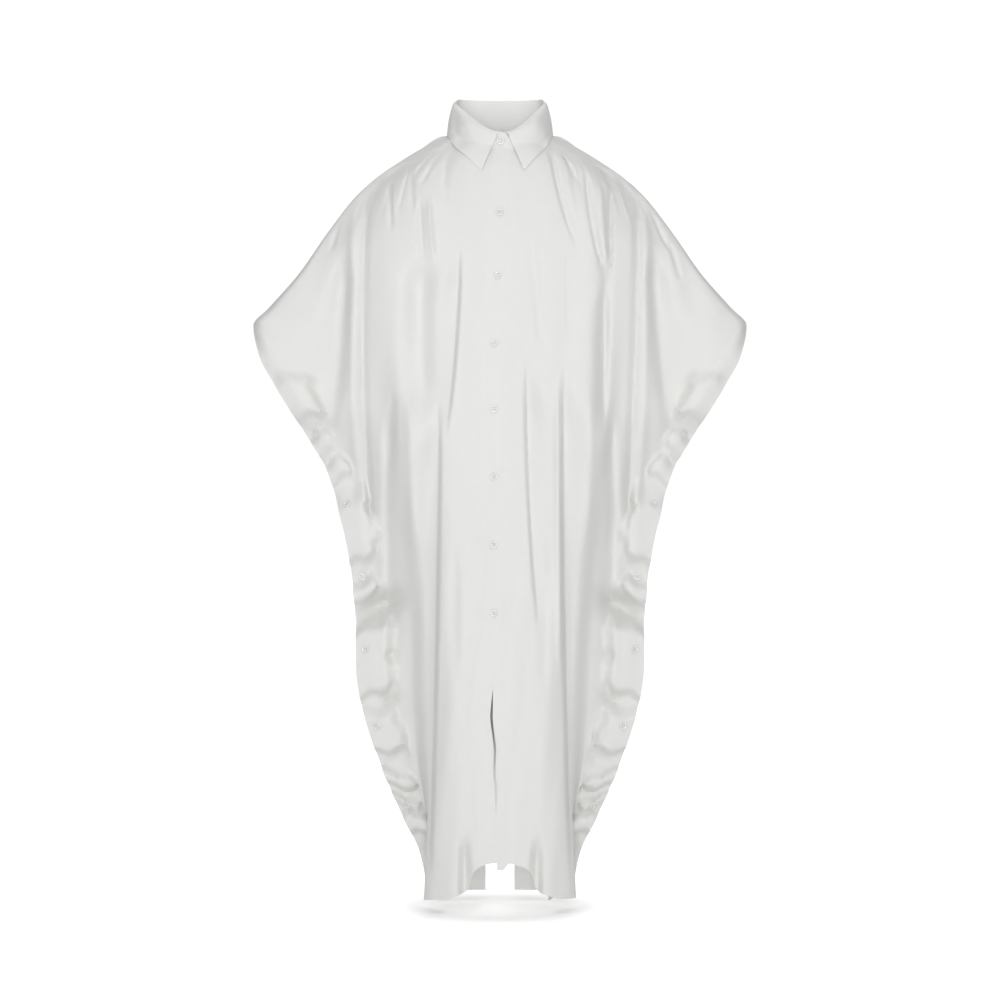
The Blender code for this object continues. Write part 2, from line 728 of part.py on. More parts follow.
def add_button(name, grid, column, row, shank=LAY_GAP):
    """A button seated on a sheet's outer face at a place of its grid."""
    step = 0.05
    place = at_grid(grid, column, row)
    sideways = at_grid(grid, column + step, row) - at_grid(grid, column - step, row)
    downwards = at_grid(grid, column, row + step) - at_grid(grid, column, row - step)
    normal = Vector(np.cross(sideways, downwards)).normalized()
    if normal.y > 0:
        normal.negate()
    button = bpy.data.objects.new(name, shared_button)
    garment.objects.link(button)
    button.rotation_mode = "QUATERNION"
    button.rotation_quaternion = Vector((0, 0, 1)).rotation_difference(normal)
    button.location = (Vector(place) + normal * (shank + BUTTON_THICKNESS / 2)) * MM


def row_at_drop(grid, drop):
    return float(np.interp(drop, -grid[:, grid.shape[1] // 2, 2], np.arange(grid.shape[0])))


for leftover in list(bpy.data.objects):
    bpy.data.objects.remove(leftover, do_unlink=True)

garment = bpy.data.collections.new("shirt_dress")
cutters = bpy.data.collections.new("cutters")
bpy.context.scene.collection.children.link(garment)
bpy.context.scene.collection.children.link(cutters)
cutters.hide_render = True

BEHIND_THE_FRONT = (0, 400, -500)
BEFORE_THE_BACK = (0, -400, -500)
BELOW_THE_YOKE = (0, 0, -300)
IN_THE_NECK = (0, 0, 20)
WEARER = {-1: "right", 1: "left"}

front_grids = {side: panel_grid(PARTS["front"], side) for side in WEARER}
for side, word in WEARER.items():
    add_sheet(f"front_{word}", front_grids[side], CLOTH, -1, BEHIND_THE_FRONT)
    add_sheet(f"back_{word}", panel_grid(PARTS["back"], side), CLOTH, -1, BEFORE_THE_BACK)
add_sheet("chest_pocket", front_grids[1], CLOTH, 1, BEHIND_THE_FRONT, cut=cut_pocket)

shared_button = button_mesh()

for side, word in WEARER.items():
    front_band = band_grid(PARTS["front"], side)
    add_sheet(f"side_band_front_{word}", front_band, BAND_CLOTH, -1, BEHIND_THE_FRONT)
    add_sheet(f"side_band_back_{word}", band_grid(PARTS["back"], side), BAND_CLOTH, -1, BEFORE_THE_BACK)
    for number, drop in enumerate(SIDE_BUTTON_DROPS, 1):
        column, row = 1 - SIDE_BUTTON_INSET / BAND_WIDTH, row_at_drop(front_band, drop)
        add_button(f"side_button_{word}_{number}", front_band, column, row, BUTTON_SHANK)

over = placket_grid("over_x", 0.0, front_grids[-1])
under = placket_grid("under_x", BAND_CLOTH + LAY_GAP, front_grids[1])
add_sheet("buttonhole_placket", over, BAND_CLOTH, -1, BEHIND_THE_FRONT)
add_sheet("button_placket", under, BAND_CLOTH, -1, BEHIND_THE_FRONT)
for number, drop in enumerate(FRONT_BUTTON_DROPS, 1):
    add_button(f"front_button_{number}", over, 1.0, row_at_drop(over, drop))

add_sheet("yoke", yoke_grid(), CLOTH, -1, BELOW_THE_YOKE, skip=off_yoke)
stand = stand_grid()
add_sheet("collar_stand", stand, COLLAR_CLOTH, -1, IN_THE_NECK)
add_sheet("collar_leaf", leaf_grid(), COLLAR_CLOTH, 1, IN_THE_NECK)
add_button("collar_button", stand, 1.0, COLLAR_BUTTON_RISE)
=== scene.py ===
# %% [markdown]
# # A shirt dress in white poplin
# The dress is a wide kaftan cut: two fronts and two backs gathered into a yoke, bands down the curved
# sides that button the front to the back, a shirt collar on a stand, a buttoned front band and one
# chest pocket. The solids of the dress are loaded first. They give the frame that each piece of cloth
# is made in, and each finer piece stands for its own solid.

# %% Load the frame
import math
from collections import namedtuple

import bmesh
import bpy
import numpy as np
from mathutils import Matrix, Vector


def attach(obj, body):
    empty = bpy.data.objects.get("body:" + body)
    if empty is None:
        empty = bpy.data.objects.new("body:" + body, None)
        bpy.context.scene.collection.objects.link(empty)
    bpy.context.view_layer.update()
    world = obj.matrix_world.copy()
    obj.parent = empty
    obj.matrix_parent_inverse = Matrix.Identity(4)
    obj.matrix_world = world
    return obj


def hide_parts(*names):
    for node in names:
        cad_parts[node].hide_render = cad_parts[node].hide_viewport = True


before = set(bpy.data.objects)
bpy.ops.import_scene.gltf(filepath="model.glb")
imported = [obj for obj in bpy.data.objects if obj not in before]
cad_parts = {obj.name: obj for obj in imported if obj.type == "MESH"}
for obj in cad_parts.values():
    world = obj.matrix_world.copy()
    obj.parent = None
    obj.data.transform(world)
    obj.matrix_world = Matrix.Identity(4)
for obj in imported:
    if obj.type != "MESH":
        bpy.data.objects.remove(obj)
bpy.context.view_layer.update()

MM = 0.001
scene = bpy.context.scene

# %% [markdown]
# ## Camera and light
# The dress is seen straight from the front, from its own middle height, on a long lens, so that its
# outline is almost flat. A large soft box stands just above the camera, so the faces of the folds are
# bright and their flanks turn grey. One at each side keeps the flanks from going dark, one overhead
# lifts the shoulders, one behind shines through the cloth a little, and a white room gives the rest.
# Two very small ones light the hollow of the dress, inside the hem and over the neck. The floor lies
# just below the hem.


# %% Camera
def add_object(name, data):
    """Puts a camera, a light or a mesh into the scene."""
    made = bpy.data.objects.new(name, data)
    scene.collection.objects.link(made)
    return made


MIDDLE_HEIGHT = -0.546
camera = add_object("camera", bpy.data.cameras.new("camera"))
camera.location = (0, -4, MIDDLE_HEIGHT)
camera.rotation_euler = (math.radians(90), 0, 0)
camera.data.lens = 96
scene.camera = camera

# %% Soft boxes: where each stands, what it is aimed at, its size and its watts
MIDDLE = (0, 0, MIDDLE_HEIGHT)
SOFT_BOXES = {
    "key": ((-0.1, -4.0, -0.25), MIDDLE, 1.4, 58),
    "right side": ((-3.0, -2.8, -0.4), MIDDLE, 1.6, 6),
    "left side": ((3.0, -2.8, -0.4), MIDDLE, 1.6, 6),
    "top": ((0.2, -1.9, 2.5), MIDDLE, 1.8, 14),
    "back": ((0.4, 3.4, 1.4), MIDDLE, 2.0, 25),
    "under the hem": ((0, 0, -0.98), (0, 0.12, -1.15), 0.12, 0.12),
    "over the neck": ((0, -0.04, 0.14), (0, 0.07, 0.02), 0.09, 0.05),
}
for name, (spot, aim, size, watts) in SOFT_BOXES.items():
    light = add_object(name, bpy.data.lights.new(name, "AREA"))
    light.location = spot
    light.rotation_mode = "QUATERNION"
    light.rotation_quaternion = (Vector(aim) - Vector(spot)).to_track_quat("-Z", "Y")
    light.data.shape = "DISK"
    light.data.size = size
    light.data.energy = watts
print(len(SOFT_BOXES), "soft boxes")

# %% Room: softer on the cloth than it looks
ROOM_LIGHT, ROOM_SEEN = 0.42, 1.05
world = bpy.data.worlds.new("white_room")
scene.world = world
world.use_nodes = True
tree = world.node_tree
room, seen = tree.nodes["Background"], tree.nodes.new("ShaderNodeBackground")
for background, strength in ((room, ROOM_LIGHT), (seen, ROOM_SEEN)):
    background.inputs["Color"].default_value = (1, 1, 1, 1)
    background.inputs["Strength"].default_value = strength
path = tree.nodes.new("ShaderNodeLightPath")
mixer = tree.nodes.new("ShaderNodeMixShader")
tree.links.new(path.outputs["Is Camera Ray"], mixer.inputs["Fac"])
tree.links.new(room.outputs[0], mixer.inputs[1])
tree.links.new(seen.outputs[0], mixer.inputs[2])
tree.links.new(mixer.outputs[0], tree.nodes["World Output"].inputs["Surface"])
scene.view_settings.view_transform = "Standard"

# %% Floor
FLOOR_HEIGHT, FLOOR_REACH = -1.168, 60


def finished_mesh(name, bm):
    """The mesh that a bmesh has become."""
    mesh = bpy.data.meshes.new(name)
    bm.to_mesh(mesh)
    bm.free()
    return mesh


bm = bmesh.new()
bmesh.ops.create_grid(bm, x_segments=1, y_segments=1, size=FLOOR_REACH)
bmesh.ops.translate(bm, verts=bm.verts[:], vec=(0, 0, FLOOR_HEIGHT))
floor = add_object("floor", finished_mesh("floor", bm))


# %% [markdown]
# ## Materials
# Poplin is a plain weave of fine combed cotton, with more threads across than along, which makes tiny
# ribs about a third of a millimetre apart. It is bleached white and pressed, so it is matt with a faint
# silky sheen. The real ribs are too fine to show from where the whole dress is seen, so they are drawn
# three times coarser, and soft dents and thread slubs of worn cotton lie over them. The patterns follow
# each piece's own UV map, which is the cut of the cloth in metres.


# %% Colours and one function that adds a node
def linear(hex_colour):
    """An sRGB hex value as the linear colour that a shader takes."""
    channels = [int(hex_colour[i : i + 2], 16) / 255 for i in (1, 3, 5)]
    return [c / 12.92 if c <= 0.04045 else ((c + 0.055) / 1.055) ** 2.4 for c in channels] + [1]


def node(material, kind, links=None, **settings):
    """Adds a node: settings are its own values or its inputs' values, links are the sockets fed into it."""
    made = material.node_tree.nodes.new(f"ShaderNode{kind}")
    for key, value in settings.items():
        if hasattr(made, key):
            setattr(made, key, value)
        else:
            made.inputs[key.replace("_", " ")].default_value = value
    for key, socket in (links or {}).items():
        material.node_tree.links.new(socket, made.inputs[key])
    return made


def new_material(name, **shader_settings):
    material = bpy.data.materials.new(name)
    material.use_nodes = True
    shader = material.node_tree.nodes["Principled BSDF"]
    for key, value in shader_settings.items():
        shader.inputs[key.replace("_", " ")].default_value = value
    return material, shader


def two_tones(material, pattern, dark, light):
    """Colours a material from dark to light by a pattern, and gives the socket with that colour."""
    ramp = node(material, "ValToRGB", {"Fac": pattern})
    for element, colour in zip(ramp.color_ramp.elements, (dark, light)):
        element.color = linear(colour)
    shader = material.node_tree.nodes["Principled BSDF"]
    material.node_tree.links.new(ramp.outputs[0], shader.inputs["Base Color"])
    return ramp.outputs[0]


# %% Poplin
# A wave pattern of scale 1 repeats every 0.314 of a metre, so this over a length gives its scale.
WAVE = 0.314
# The share of the light that a thin white cloth lets through.
THROUGH = 0.1


def poplin(name, colour, shade, crumple_mm, rib_mm=1.1):
    """Bleached cotton poplin: matt, with ribs across, thread slubs and dents crumple_mm deep."""
    material, shader = new_material(
        name, Roughness=0.82, Specular_IOR_Level=0.3, Sheen_Weight=0.12, Sheen_Roughness=0.4
    )
    links = material.node_tree.links
    cut = node(material, "TexCoord").outputs["UV"]
    ribs = node(material, "TexWave", {"Vector": cut}, bands_direction="Y", Distortion=0.6)
    ribs.inputs["Scale"].default_value = WAVE / (rib_mm * MM)
    warp = node(material, "TexWave", {"Vector": cut}, bands_direction="X", Distortion=0.4)
    warp.inputs["Scale"].default_value = WAVE / (0.7 * rib_mm * MM)
    weave = node(material, "Math", {0: ribs.outputs["Fac"], 1: warp.outputs["Fac"]}, operation="MULTIPLY")
    # Slubs are about 11 mm long, dents about 60 mm across.
    slubs = node(material, "TexNoise", {"Vector": cut}, Scale=90.0, Detail=3.0, Roughness=0.6)
    dents = node(material, "TexNoise", {"Vector": cut}, Scale=17.0, Detail=4.0, Distortion=0.8)
    tint = two_tones(material, slubs.outputs["Fac"], shade, colour)
    large = node(material, "Bump", {"Height": dents.outputs["Fac"]}, Distance=crumple_mm * MM)
    fine = node(material, "Bump", {"Height": weave.outputs[0], "Normal": large.outputs[0]}, Strength=0.3)
    fine.inputs["Distance"].default_value = 0.12 * MM
    links.new(fine.outputs[0], shader.inputs["Normal"])
    through = node(material, "BsdfTranslucent", {"Color": tint, "Normal": fine.outputs[0]})
    both = node(material, "MixShader", {1: shader.outputs[0], 2: through.outputs[0]}, Fac=THROUGH)
    links.new(both.outputs[0], material.node_tree.nodes["Material Output"].inputs["Surface"])
    return material


dress_poplin = poplin("bleached_cotton_poplin", "#F0F0EE", "#EDEDEB", crumple_mm=1.1)
band_poplin = poplin("pressed_poplin_band", "#F1F1EF", "#EEEEEC", crumple_mm=0.7)
collar_poplin = poplin("fused_poplin_collar", "#F1F1EF", "#EEEEEC", crumple_mm=0.5)

# %% Buttons, thread and floor
# Pearl buttons are turned from cast polyester: hard, glossy under a clear top, with a milky cloud
# inside, whose wisps are two to three millimetres long.
pearl_polyester, _ = new_material(
    "pearl_polyester", Roughness=0.22, Specular_IOR_Level=0.55, Coat_Weight=0.4, Coat_Roughness=0.12
)
where = node(pearl_polyester, "TexCoord").outputs["Object"]
cloud = node(pearl_polyester, "TexNoise", {"Vector": where}, Scale=420.0, Detail=2.0, Distortion=1.5)
two_tones(pearl_polyester, cloud.outputs["Fac"], "#D9DBD8", "#F3F3F0")

# Sewing thread is spun polyester: two plies that turn every third of a millimetre, matt and white like the
# cloth. The gaps between the plies are painted darker, as painted shade in their hollows.
spun_thread, _ = new_material("spun_polyester_thread", Roughness=0.7, Sheen_Weight=0.2)
where = node(spun_thread, "TexCoord").outputs["Object"]
plies_and_painted_gap_shade = node(spun_thread, "TexWave", {"Vector": where}, Scale=900.0, bands_direction="DIAGONAL")
# The darker tone is painted shade in the gaps between the plies.
two_tones(spun_thread, plies_and_painted_gap_shade.outputs["Fac"], "#E6E7E3", "#F1F1EE")

# The floor is painted board, pale and matt. It glows for the camera alone, so that it looks as white as the
# room, and the glow is turned down round the foot of the dress, which paints a soft shadow under the hem.
# The table below holds the radii and strengths of this painted shadow.
PAINTED_SHADOW_GLOW = {"From Min": 0.11, "From Max": 0.24, "To Min": 0.24, "To Max": 0.95}
PAINTED_SHADOW_CENTRE_SHIFT = (0, -0.07, 0)
floor_glow_painted_shadow, shader = new_material("floor_glow_painted_shadow", Roughness=0.9)
shader.inputs["Base Color"].default_value = linear("#F7F7F7")
shader.inputs["Emission Color"].default_value = (1, 1, 1, 1)
where = node(floor_glow_painted_shadow, "TexCoord").outputs["Object"]
level = node(floor_glow_painted_shadow, "VectorMath", {0: where}, operation="MULTIPLY_ADD")
level.inputs[1].default_value = (1, 1, 0)
level.inputs[2].default_value = PAINTED_SHADOW_CENTRE_SHIFT
away = node(floor_glow_painted_shadow, "VectorMath", {0: level.outputs[0]}, operation="LENGTH")
# The glow is least near the middle of the floor, under the hem: there it paints a shadow.
glow_with_painted_shadow = node(floor_glow_painted_shadow, "MapRange", {"Value": away.outputs["Value"]})
for key, value in PAINTED_SHADOW_GLOW.items():
    glow_with_painted_shadow.inputs[key].default_value = value
seen_only = node(floor_glow_painted_shadow, "LightPath").outputs["Is Camera Ray"]
shown = node(floor_glow_painted_shadow, "Math", {0: glow_with_painted_shadow.outputs[0], 1: seen_only}, operation="MULTIPLY")
floor_glow_painted_shadow.node_tree.links.new(shown.outputs[0], shader.inputs["Emission Strength"])
floor.data.materials.append(floor_glow_painted_shadow)

# %% [markdown]
# ## The form of the cloth
# Cloth hangs from where it is held. Here that is the yoke, so the sections of the dress are wide and
# round at the shoulders, run out to a point at each sleeve, and lower down fall in two deep columns with
# a narrow wing at each side, where the bands hold front and back together. Each level section is drawn
# by a few named places, and a smooth curve joins them. The same sizes as in the solids are used, in
# millimetres: "drop" is how far a place lies below the neck points, "x" how far from the centre line and
# "y" how far behind the neck points.


# %% Small helpers for smooth curves and tables
def ease(t):
    t = np.clip(t, 0.0, 1.0)
    return t * t * (3 - 2 * t)


def mix(a, b, share):
    return a + (b - a) * share


def table(text, rows=()):
    """A table from lines of text, names first. Its first column is what the others are read at."""
    names, *lines = text.strip().splitlines()
    rows = [*(line.split() for line in lines), *rows]
    return {name: np.array([row[i] for row in rows], float) for i, name in enumerate(names.split())}


def along(knots, values, at):
    """Values at places between the knots, on a smooth curve that never swings past a knot."""
    at = np.clip(np.atleast_1d(np.asarray(at, float)), knots[0], knots[-1])
    values = np.asarray(values, float)
    if values.ndim == 1:
        values = np.repeat(values[:, None], at.size, axis=1)
    slope = np.diff(values, axis=0) / np.diff(knots)[:, None]
    before, after = slope[:-1], slope[1:]
    same_way = before * after > 0
    middle = np.where(same_way, 2 * before * after / np.where(same_way, before + after, 1.0), 0.0)
    tangent = np.vstack([slope[:1], middle, slope[-1:]])
    left = np.clip(np.searchsorted(knots, at, side="right") - 1, 0, len(knots) - 2)
    each = np.arange(at.size)
    span = knots[left + 1] - knots[left]
    t = (at - knots[left]) / span
    return (
        (1 + 2 * t) * (1 - t) ** 2 * values[left, each]
        + t * (1 - t) ** 2 * span * tangent[left, each]
        + t**2 * (3 - 2 * t) * values[left + 1, each]
        - t**2 * (1 - t) * span * tangent[left + 1, each]
    )


def read(rows, column, at):
    return along(rows[next(iter(rows))], rows[column], at)


# %% Sizes of the cut
YOKE_HALF_WIDTH = 200.0
YOKE_FRONT_DROP = 18.0
YOKE_BACK_DROP = 92.0
SLEEVE_POINT_DROP = 284.0
BAND_WIDTH = 35.0
BAND_START_DROP = 232.0
PLACKET_WIDTH = 34.0
BACK_HEM_DROP = 1150.0
NECK_CORNER_X = 61.0
SHOULDER_X = 75.0

# %% Outline seen from the front, and the named places of each level section
SIDE = table("""
drop x
  -2  76
  13 106
  29 134
  57 176
  90 215
 143 257
 207 302
 258 347
 284 370
 333 358
 375 335
 444 293
 506 257
 554 243
 646 224
 740 216
 801 215
 843 209
 926 185
1000 155
1080 119
1160 104
""")
SECTION_COLUMNS = "drop centre_y column_x column_y valley_x valley_y seam_in seam_y edge_y"
FRONT = table(SECTION_COLUMNS + """
  -2  -50  30  -44  52 -34 12 -16 -0.9
  20  -68  60  -54  85 -40 14 -22 -0.9
  60  -88  92  -77 132 -58 20 -32 -0.9
 115 -106 112  -98 168 -76 28 -42 -0.9
 180 -119 122 -112 188 -86 40 -52 -0.9
 258 -127 124 -119 195 -86 70 -48 -0.9
 284 -129 124 -120 196 -84 80 -48 -0.9
 345 -132 132 -118 184 -78 66 -46  -32
 410 -134 140 -113 178 -72 54 -44  -26
 450 -135 142 -109 174 -70 44 -22   -3
 530 -136 128  -99 164 -62 38 -13   -2
 640 -136 112  -93 142 -46 36 -11   -2
 740 -135 108  -90 136 -40 36 -10   -2
 840 -134 107  -86 133 -34 36  -9   -2
 926 -133 106  -84 126 -25 36  -8   -2
1000 -132 107  -82 112 -24 36  -8   -2
1080 -131 110  -78  90 -32 36  -9   -2
1160 -130 113  -76  78 -34 36  -9   -2
""")
BACK = table(SECTION_COLUMNS + """
  -2  80  30  74  52 58 12 32 0.9
  20  92  60  82  85 64 14 34 0.9
  60 108  92  98 132 74 20 40 0.9
 115 124 112 116 168 88 28 48 0.9
 180 132 124 126 188 96 40 56 0.9
 258 134 128 129 195 94 70 60 0.9
 284 134 128 129 196 92 80 62 0.9
 345 133 126 127 190 82 66 58  36
 410 131 122 123 178 66 54 44  26
 450 130 119 120 168 56 44 22   3
 530 129 114 115 152 42 38 13   2
 640 128 110 108 138 32 36 11   2
 740 128 108 100 128 26 36 10   2
 840 129 108  94 124 22 36  9   2
 926 130 108  90 118 20 36  8   2
1000 131 109  86 108 24 36  8   2
1080 132 111  84  90 32 36  9   2
1160 133 112  82  78 34 36  9   2
""")


# %% Level sections
STATIONS = np.linspace(0.0, 1.0, 7)
SAMPLES = np.linspace(0.0, 1.0, 361)
# The sections are round out to the side edge down to the sleeve point, and flatter within this below it.
ROUND_TO_FLAT = 130


def section(rows, drop, across):
    """x and y on one level section, from the centre line (0) to the side edge (1)."""
    drop, across = np.broadcast_arrays(np.atleast_1d(drop).astype(float), across)
    centre_y, column_x, column_y, valley_x, valley_y, seam_in, seam_y, edge_y = (
        read(rows, name, drop) for name in SECTION_COLUMNS.split()[1:]
    )
    edge_x = read(SIDE, "x", drop)
    seam_x = edge_x - seam_in
    rounding = 1 - ease((drop - SLEEVE_POINT_DROP) / ROUND_TO_FLAT)
    turn_x = mix(seam_x, edge_x, 0.5 + 0.34 * rounding)
    turn_y = mix(edge_y, seam_y, 0.5 + 0.1 * rounding)
    breast_y = mix(centre_y, column_y, 0.12)
    outline_x = [0 * drop, 0.55 * column_x, column_x, valley_x, seam_x, turn_x, edge_x]
    outline_y = [centre_y, breast_y, column_y, valley_y, seam_y, turn_y, edge_y]
    return along(STATIONS, np.stack(outline_x), across), along(STATIONS, np.stack(outline_y), across)


# %% Level tables, so that a place can be found again by its x or by its cloth
LEVEL_STEP = 4.0
LEVELS = np.arange(-12.0, 1172.0, LEVEL_STEP)


def level_tables(rows):
    """On many levels and at every sample: x, and how much cloth lies from there to the side edge."""
    levels, samples = np.meshgrid(LEVELS, SAMPLES, indexing="ij")
    x, y = (values.reshape(levels.shape) for values in section(rows, levels.ravel(), samples.ravel()))
    steps = np.hypot(np.diff(x, axis=1), np.diff(y, axis=1))
    return x, np.pad(steps[:, ::-1].cumsum(axis=1)[:, ::-1], ((0, 0), (0, 1)))


def at_grid(grid, column, row):
    """Values of a grid at columns and rows that may lie between its corners."""
    column, row = np.broadcast_arrays(np.asarray(column, float), np.asarray(row, float))
    left = np.clip(np.floor(column).astype(int), 0, grid.shape[1] - 2)
    top = np.clip(np.floor(row).astype(int), 0, grid.shape[0] - 2)
    right_share, down_share = column - left, row - top
    if grid.ndim == 3:
        right_share, down_share = right_share[..., None], down_share[..., None]
    upper = mix(grid[top, left], grid[top, left + 1], right_share)
    lower = mix(grid[top + 1, left], grid[top + 1, left + 1], right_share)
    return mix(upper, lower, down_share)


def level_row(grid, drop):
    """One row of a level table at a drop."""
    return at_grid(grid, np.arange(SAMPLES.size), (drop - LEVELS[0]) / LEVEL_STEP)


def across_at_x(part, drop, x):
    """How far across the section each x lies, on the stretch that faces front or back."""
    found = []
    for one_drop, one_x in zip(drop, x):
        outline = level_row(part["x"], one_drop)
        turn = int(np.argmax(outline)) + 1
        found.append(np.interp(one_x, outline[:turn], SAMPLES[:turn]))
    return np.array(found)


def across_from_edge(part, drop, width):
    """How far across the section lies the place that is this width of cloth in from the side edge."""
    return np.array(
        [np.interp(w, level_row(part["to_edge"], d)[::-1], SAMPLES[::-1]) for d, w in zip(drop, width)]
    )


# %% [markdown]
# ## Folds
# Woven cloth bends in one direction at a time, so a hanging dress is a set of long ridges and troughs.
# They start narrow where the cloth is gathered or pinched, widen as they run down, and die out. Each is
# one row of a table: its path down the cloth (three places), how wide it is towards the centre and
# towards the side, and how far it stands out or sinks in. A fold that is narrow on one side is a lap,
# which throws a crisp shadow there. The gathers at the yoke are many small folds, so a loop deals them
# out unevenly from a seeded generator.


# %% Large folds, by side of the wearer (-1 right, 1 left)
FOLD_COLUMNS = "side x_top drop_top x_mid x_foot drop_foot inner outer depth"
FRONT_FOLDS = table(FOLD_COLUMNS + """
-1  76   32  79  82   92   3   5   -4
-1  92   34 104 118   84   4   5   -4
-1 108   40 116 126   66   4   4   -4
-1 131   66 129 127  124   3   4   -5
-1 104  108 101  96  198   5   6  6.5
-1 117  108 115 110  196   4   7 -6.5
-1 162   78 161 158  152   3   5 -6.5
-1 197   90 203 190  640   9 5.5   -9
-1 216   96 218 207  660   8   9    6
-1 230  176 238 254  440  16  60  -28
-1 240  124 244 250  178   4   6   -5
-1  60  178  65  78  440 3.8  44  -17
-1 115  184 118 112  425  25  36  -27
-1 130  366 130 124  620  15  12    6
-1 158  382 159 164  500  10   8   -5
-1 164  396 168 162  850  16   9   -8
-1  90  400  95 104 1060   5  32  -22
-1  66  600  65  62  830   9  12   -4
-1  25  596  40  55  648  10  10   -3
-1  52 1036  51  50 1200  12   9  -16
 1  74   22  87 111  174   3   9   -8
 1  95   34 104 115   80   3   5   -5
 1 126   58 135 156  234 3.6   9   -9
 1 148   82 150 156  205   9   6    5
 1 164   80 163 162  232   8   3   -9
 1 153  216 153 150  440  15   8  -15
 1 206   92 199 189  640   9 5.5   -9
 1 216   96 214 205  660   8   9    6
 1 229  172 238 255  440  16  60  -28
 1 229  122 238 249  174   4   6 -6.5
 1 254  166 260 268  218   5   5   -5
 1  46  166  54  62  330  10  12   -5
 1  39  340  43  56  720   4  34  -19
 1  84  366  85  88  800   7   4    5
 1  94  352  96 105 1060   5  32  -22
 1 130  366 131 124  620  15  12    6
 1 164  418 168 175  640  14   8   -9
 1 166  560 166 162  850  16   9   -8
 1  64  600  65  62  830  12   9   -4
 1  54 1036  53  52 1200  12   9  -16
""")
BACK_FOLDS = table(FOLD_COLUMNS + """
-1  38  98  42  44  660 14 12   7
-1  76 112  78  74  960 18 12 -10
-1  56 140  60  62  520 10  7  -5
-1 116 104 116 112  640 14 12   8
-1 138 120 136 132  420  8  6  -5
-1 158 100 160 160  540 16 10 -10
-1 204 130 204 196  580  8 16   8
-1 188 120 190 182  600 12  6  -7
-1 244 200 250 256  430 18 12  -9
-1  60 700  58  58 1200 12 12   6
-1  92 640  90  88 1180 10  8  -6
-1  34 620  33  32 1100 10  8  -4
 1  46 100  50  52  720 14 12   7
 1  84 118  84  80  980 16 12  -9
 1  66 130  68  70  430  8  7  -5
 1 122 104 122 116  580 14 12   8
 1 144 112 142 140  380  8  6  -5
 1 164 108 164 160  560 16 10  -9
 1 202 120 202 194  540  8 16   8
 1 186 128 188 180  560 12  6  -7
 1 240 206 248 256  430 18 12  -9
 1  56 760  58  60 1200 12 12   6
 1  96 600  92  88 1180 10  8  -6
 1  28 560  30  30 1000 10  8  -4
""")


# %% Gathers, dealt out along the yoke seam
def gathers(seed, first_x, seam):
    """Small folds under a seam: about a centimetre apart, uneven, and fanning out as they run down."""
    rng = np.random.default_rng(seed)
    rows = []
    for side in (-1, 1):
        x = first_x
        while x < YOKE_HALF_WIDTH - 6:
            x += rng.uniform(5, 12)
            length = rng.choice([26, 40, 62, 95]) * rng.uniform(0.8, 1.25)
            fan = x + length * (0.05 + 0.25 * x / YOKE_HALF_WIDTH)
            depth = rng.choice([-1.0, -1.6, -2.6, 1.5]) * rng.uniform(0.7, 1.2)
            half = rng.uniform(2.6, 5.0)
            start = seam(x) - 2
            rows.append((side, x, start, mix(x, fan, 0.45), fan, start + length, half, half, depth))
    return table(FOLD_COLUMNS, rows)


# %% The lift of all folds, and slow swells
# How long a fold takes to grow and to die out, at most, and how narrow it starts.
FOLD_START, FOLD_END = 44.0, 120.0
NARROW_START = 0.25


def fold_lift(folds, side, x, drop):
    """How far the folds of one side lift the cloth out, in mm."""
    lift = np.zeros_like(x)
    for own, x_top, drop_top, x_mid, x_foot, drop_foot, inner, outer, depth in zip(*folds.values()):
        if own == side:
            down = (drop - drop_top) / (drop_foot - drop_top)
            on_path = np.clip(down, 0, 1)
            bow = 4 * on_path * (1 - on_path) * (x_mid - (x_top + x_foot) / 2)
            off = x - mix(x_top, x_foot, on_path) - bow
            length = drop_foot - drop_top
            spread = mix(NARROW_START, 1.0, ease(down * length / (3 * (inner + outer))))
            off = off / np.maximum(np.where(off > 0, outer, inner) * spread, min(inner, outer))
            fade = ease((down * length + 6) / min(0.25 * length, FOLD_START + 3 * abs(depth)))
            fade = fade * ease((1.08 - down) * length / min(0.35 * length, FOLD_END))
            lift += depth * fade * np.exp(-1.6 * off**2)
    return lift


def unevenness(seed, x, drop):
    """Slow swells down the whole cloth, a millimetre or two high, so that no stretch is truly even."""
    rng = np.random.default_rng(seed)
    lift = np.zeros_like(x)
    for wave_mm in (95, 61, 43, 29):
        lean, phase, slow = rng.uniform(-0.12, 0.12), rng.uniform(0, 6.3), rng.uniform(150, 320)
        strength = np.sin(drop / slow + rng.uniform(0, 6.3)) * 0.5 + 0.6
        lift += 0.013 * wave_mm * strength * np.sin(6.283 * (x + lean * drop) / wave_mm + phase)
    return lift


# %% [markdown]
# ## Ruffles down the side bands
# The curved side edges are longer than the line they hang on, so between the buttons the banded edges
# bow out in lobes, and at the buttons and below them they pinch back in. A lobe is a swelling of the
# last few centimetres of cloth. It stands out most near its inner end, leans over a little there, and
# drops off steeply behind, which hides the cloth under it.

# %% Lobes: where each starts and ends, how much cloth it takes in from the edge, how far it stands out
LOBES = table("""
drop_top drop_foot reach out lean slant swell
 350  426 50 18 3 -0.25  0.7
 444  480 34 15 3  -0.4  0.7
 482  520 36 18 3  -0.3  0.7
 522  640 46 24 2  -0.5  0.7
 662  698 36 18 2  -0.6  0.7
 722  842 52 24 2  -0.4 0.35
 850  926 46 21 2  -0.1  0.6
 950  980 38 17 3  0.15  0.6
 988 1010 30 12 3   0.3  0.6
1012 1048 36 17 4  -0.2  0.6
""")
PINCHES = table("""
drop x_in half_drop half_in depth
 440 30 12 22  -9
 654 30 14 28 -12
 705 40 17 32 -44
 846 46  8 14 -14
 938 30 11 26 -10
 984 28  7 18  -8
1064 28 18 24 -15
""")
# The least length over which a lobe drops off at its foot, so that it stays smooth.
SOFTEST_FOOT = 11.0


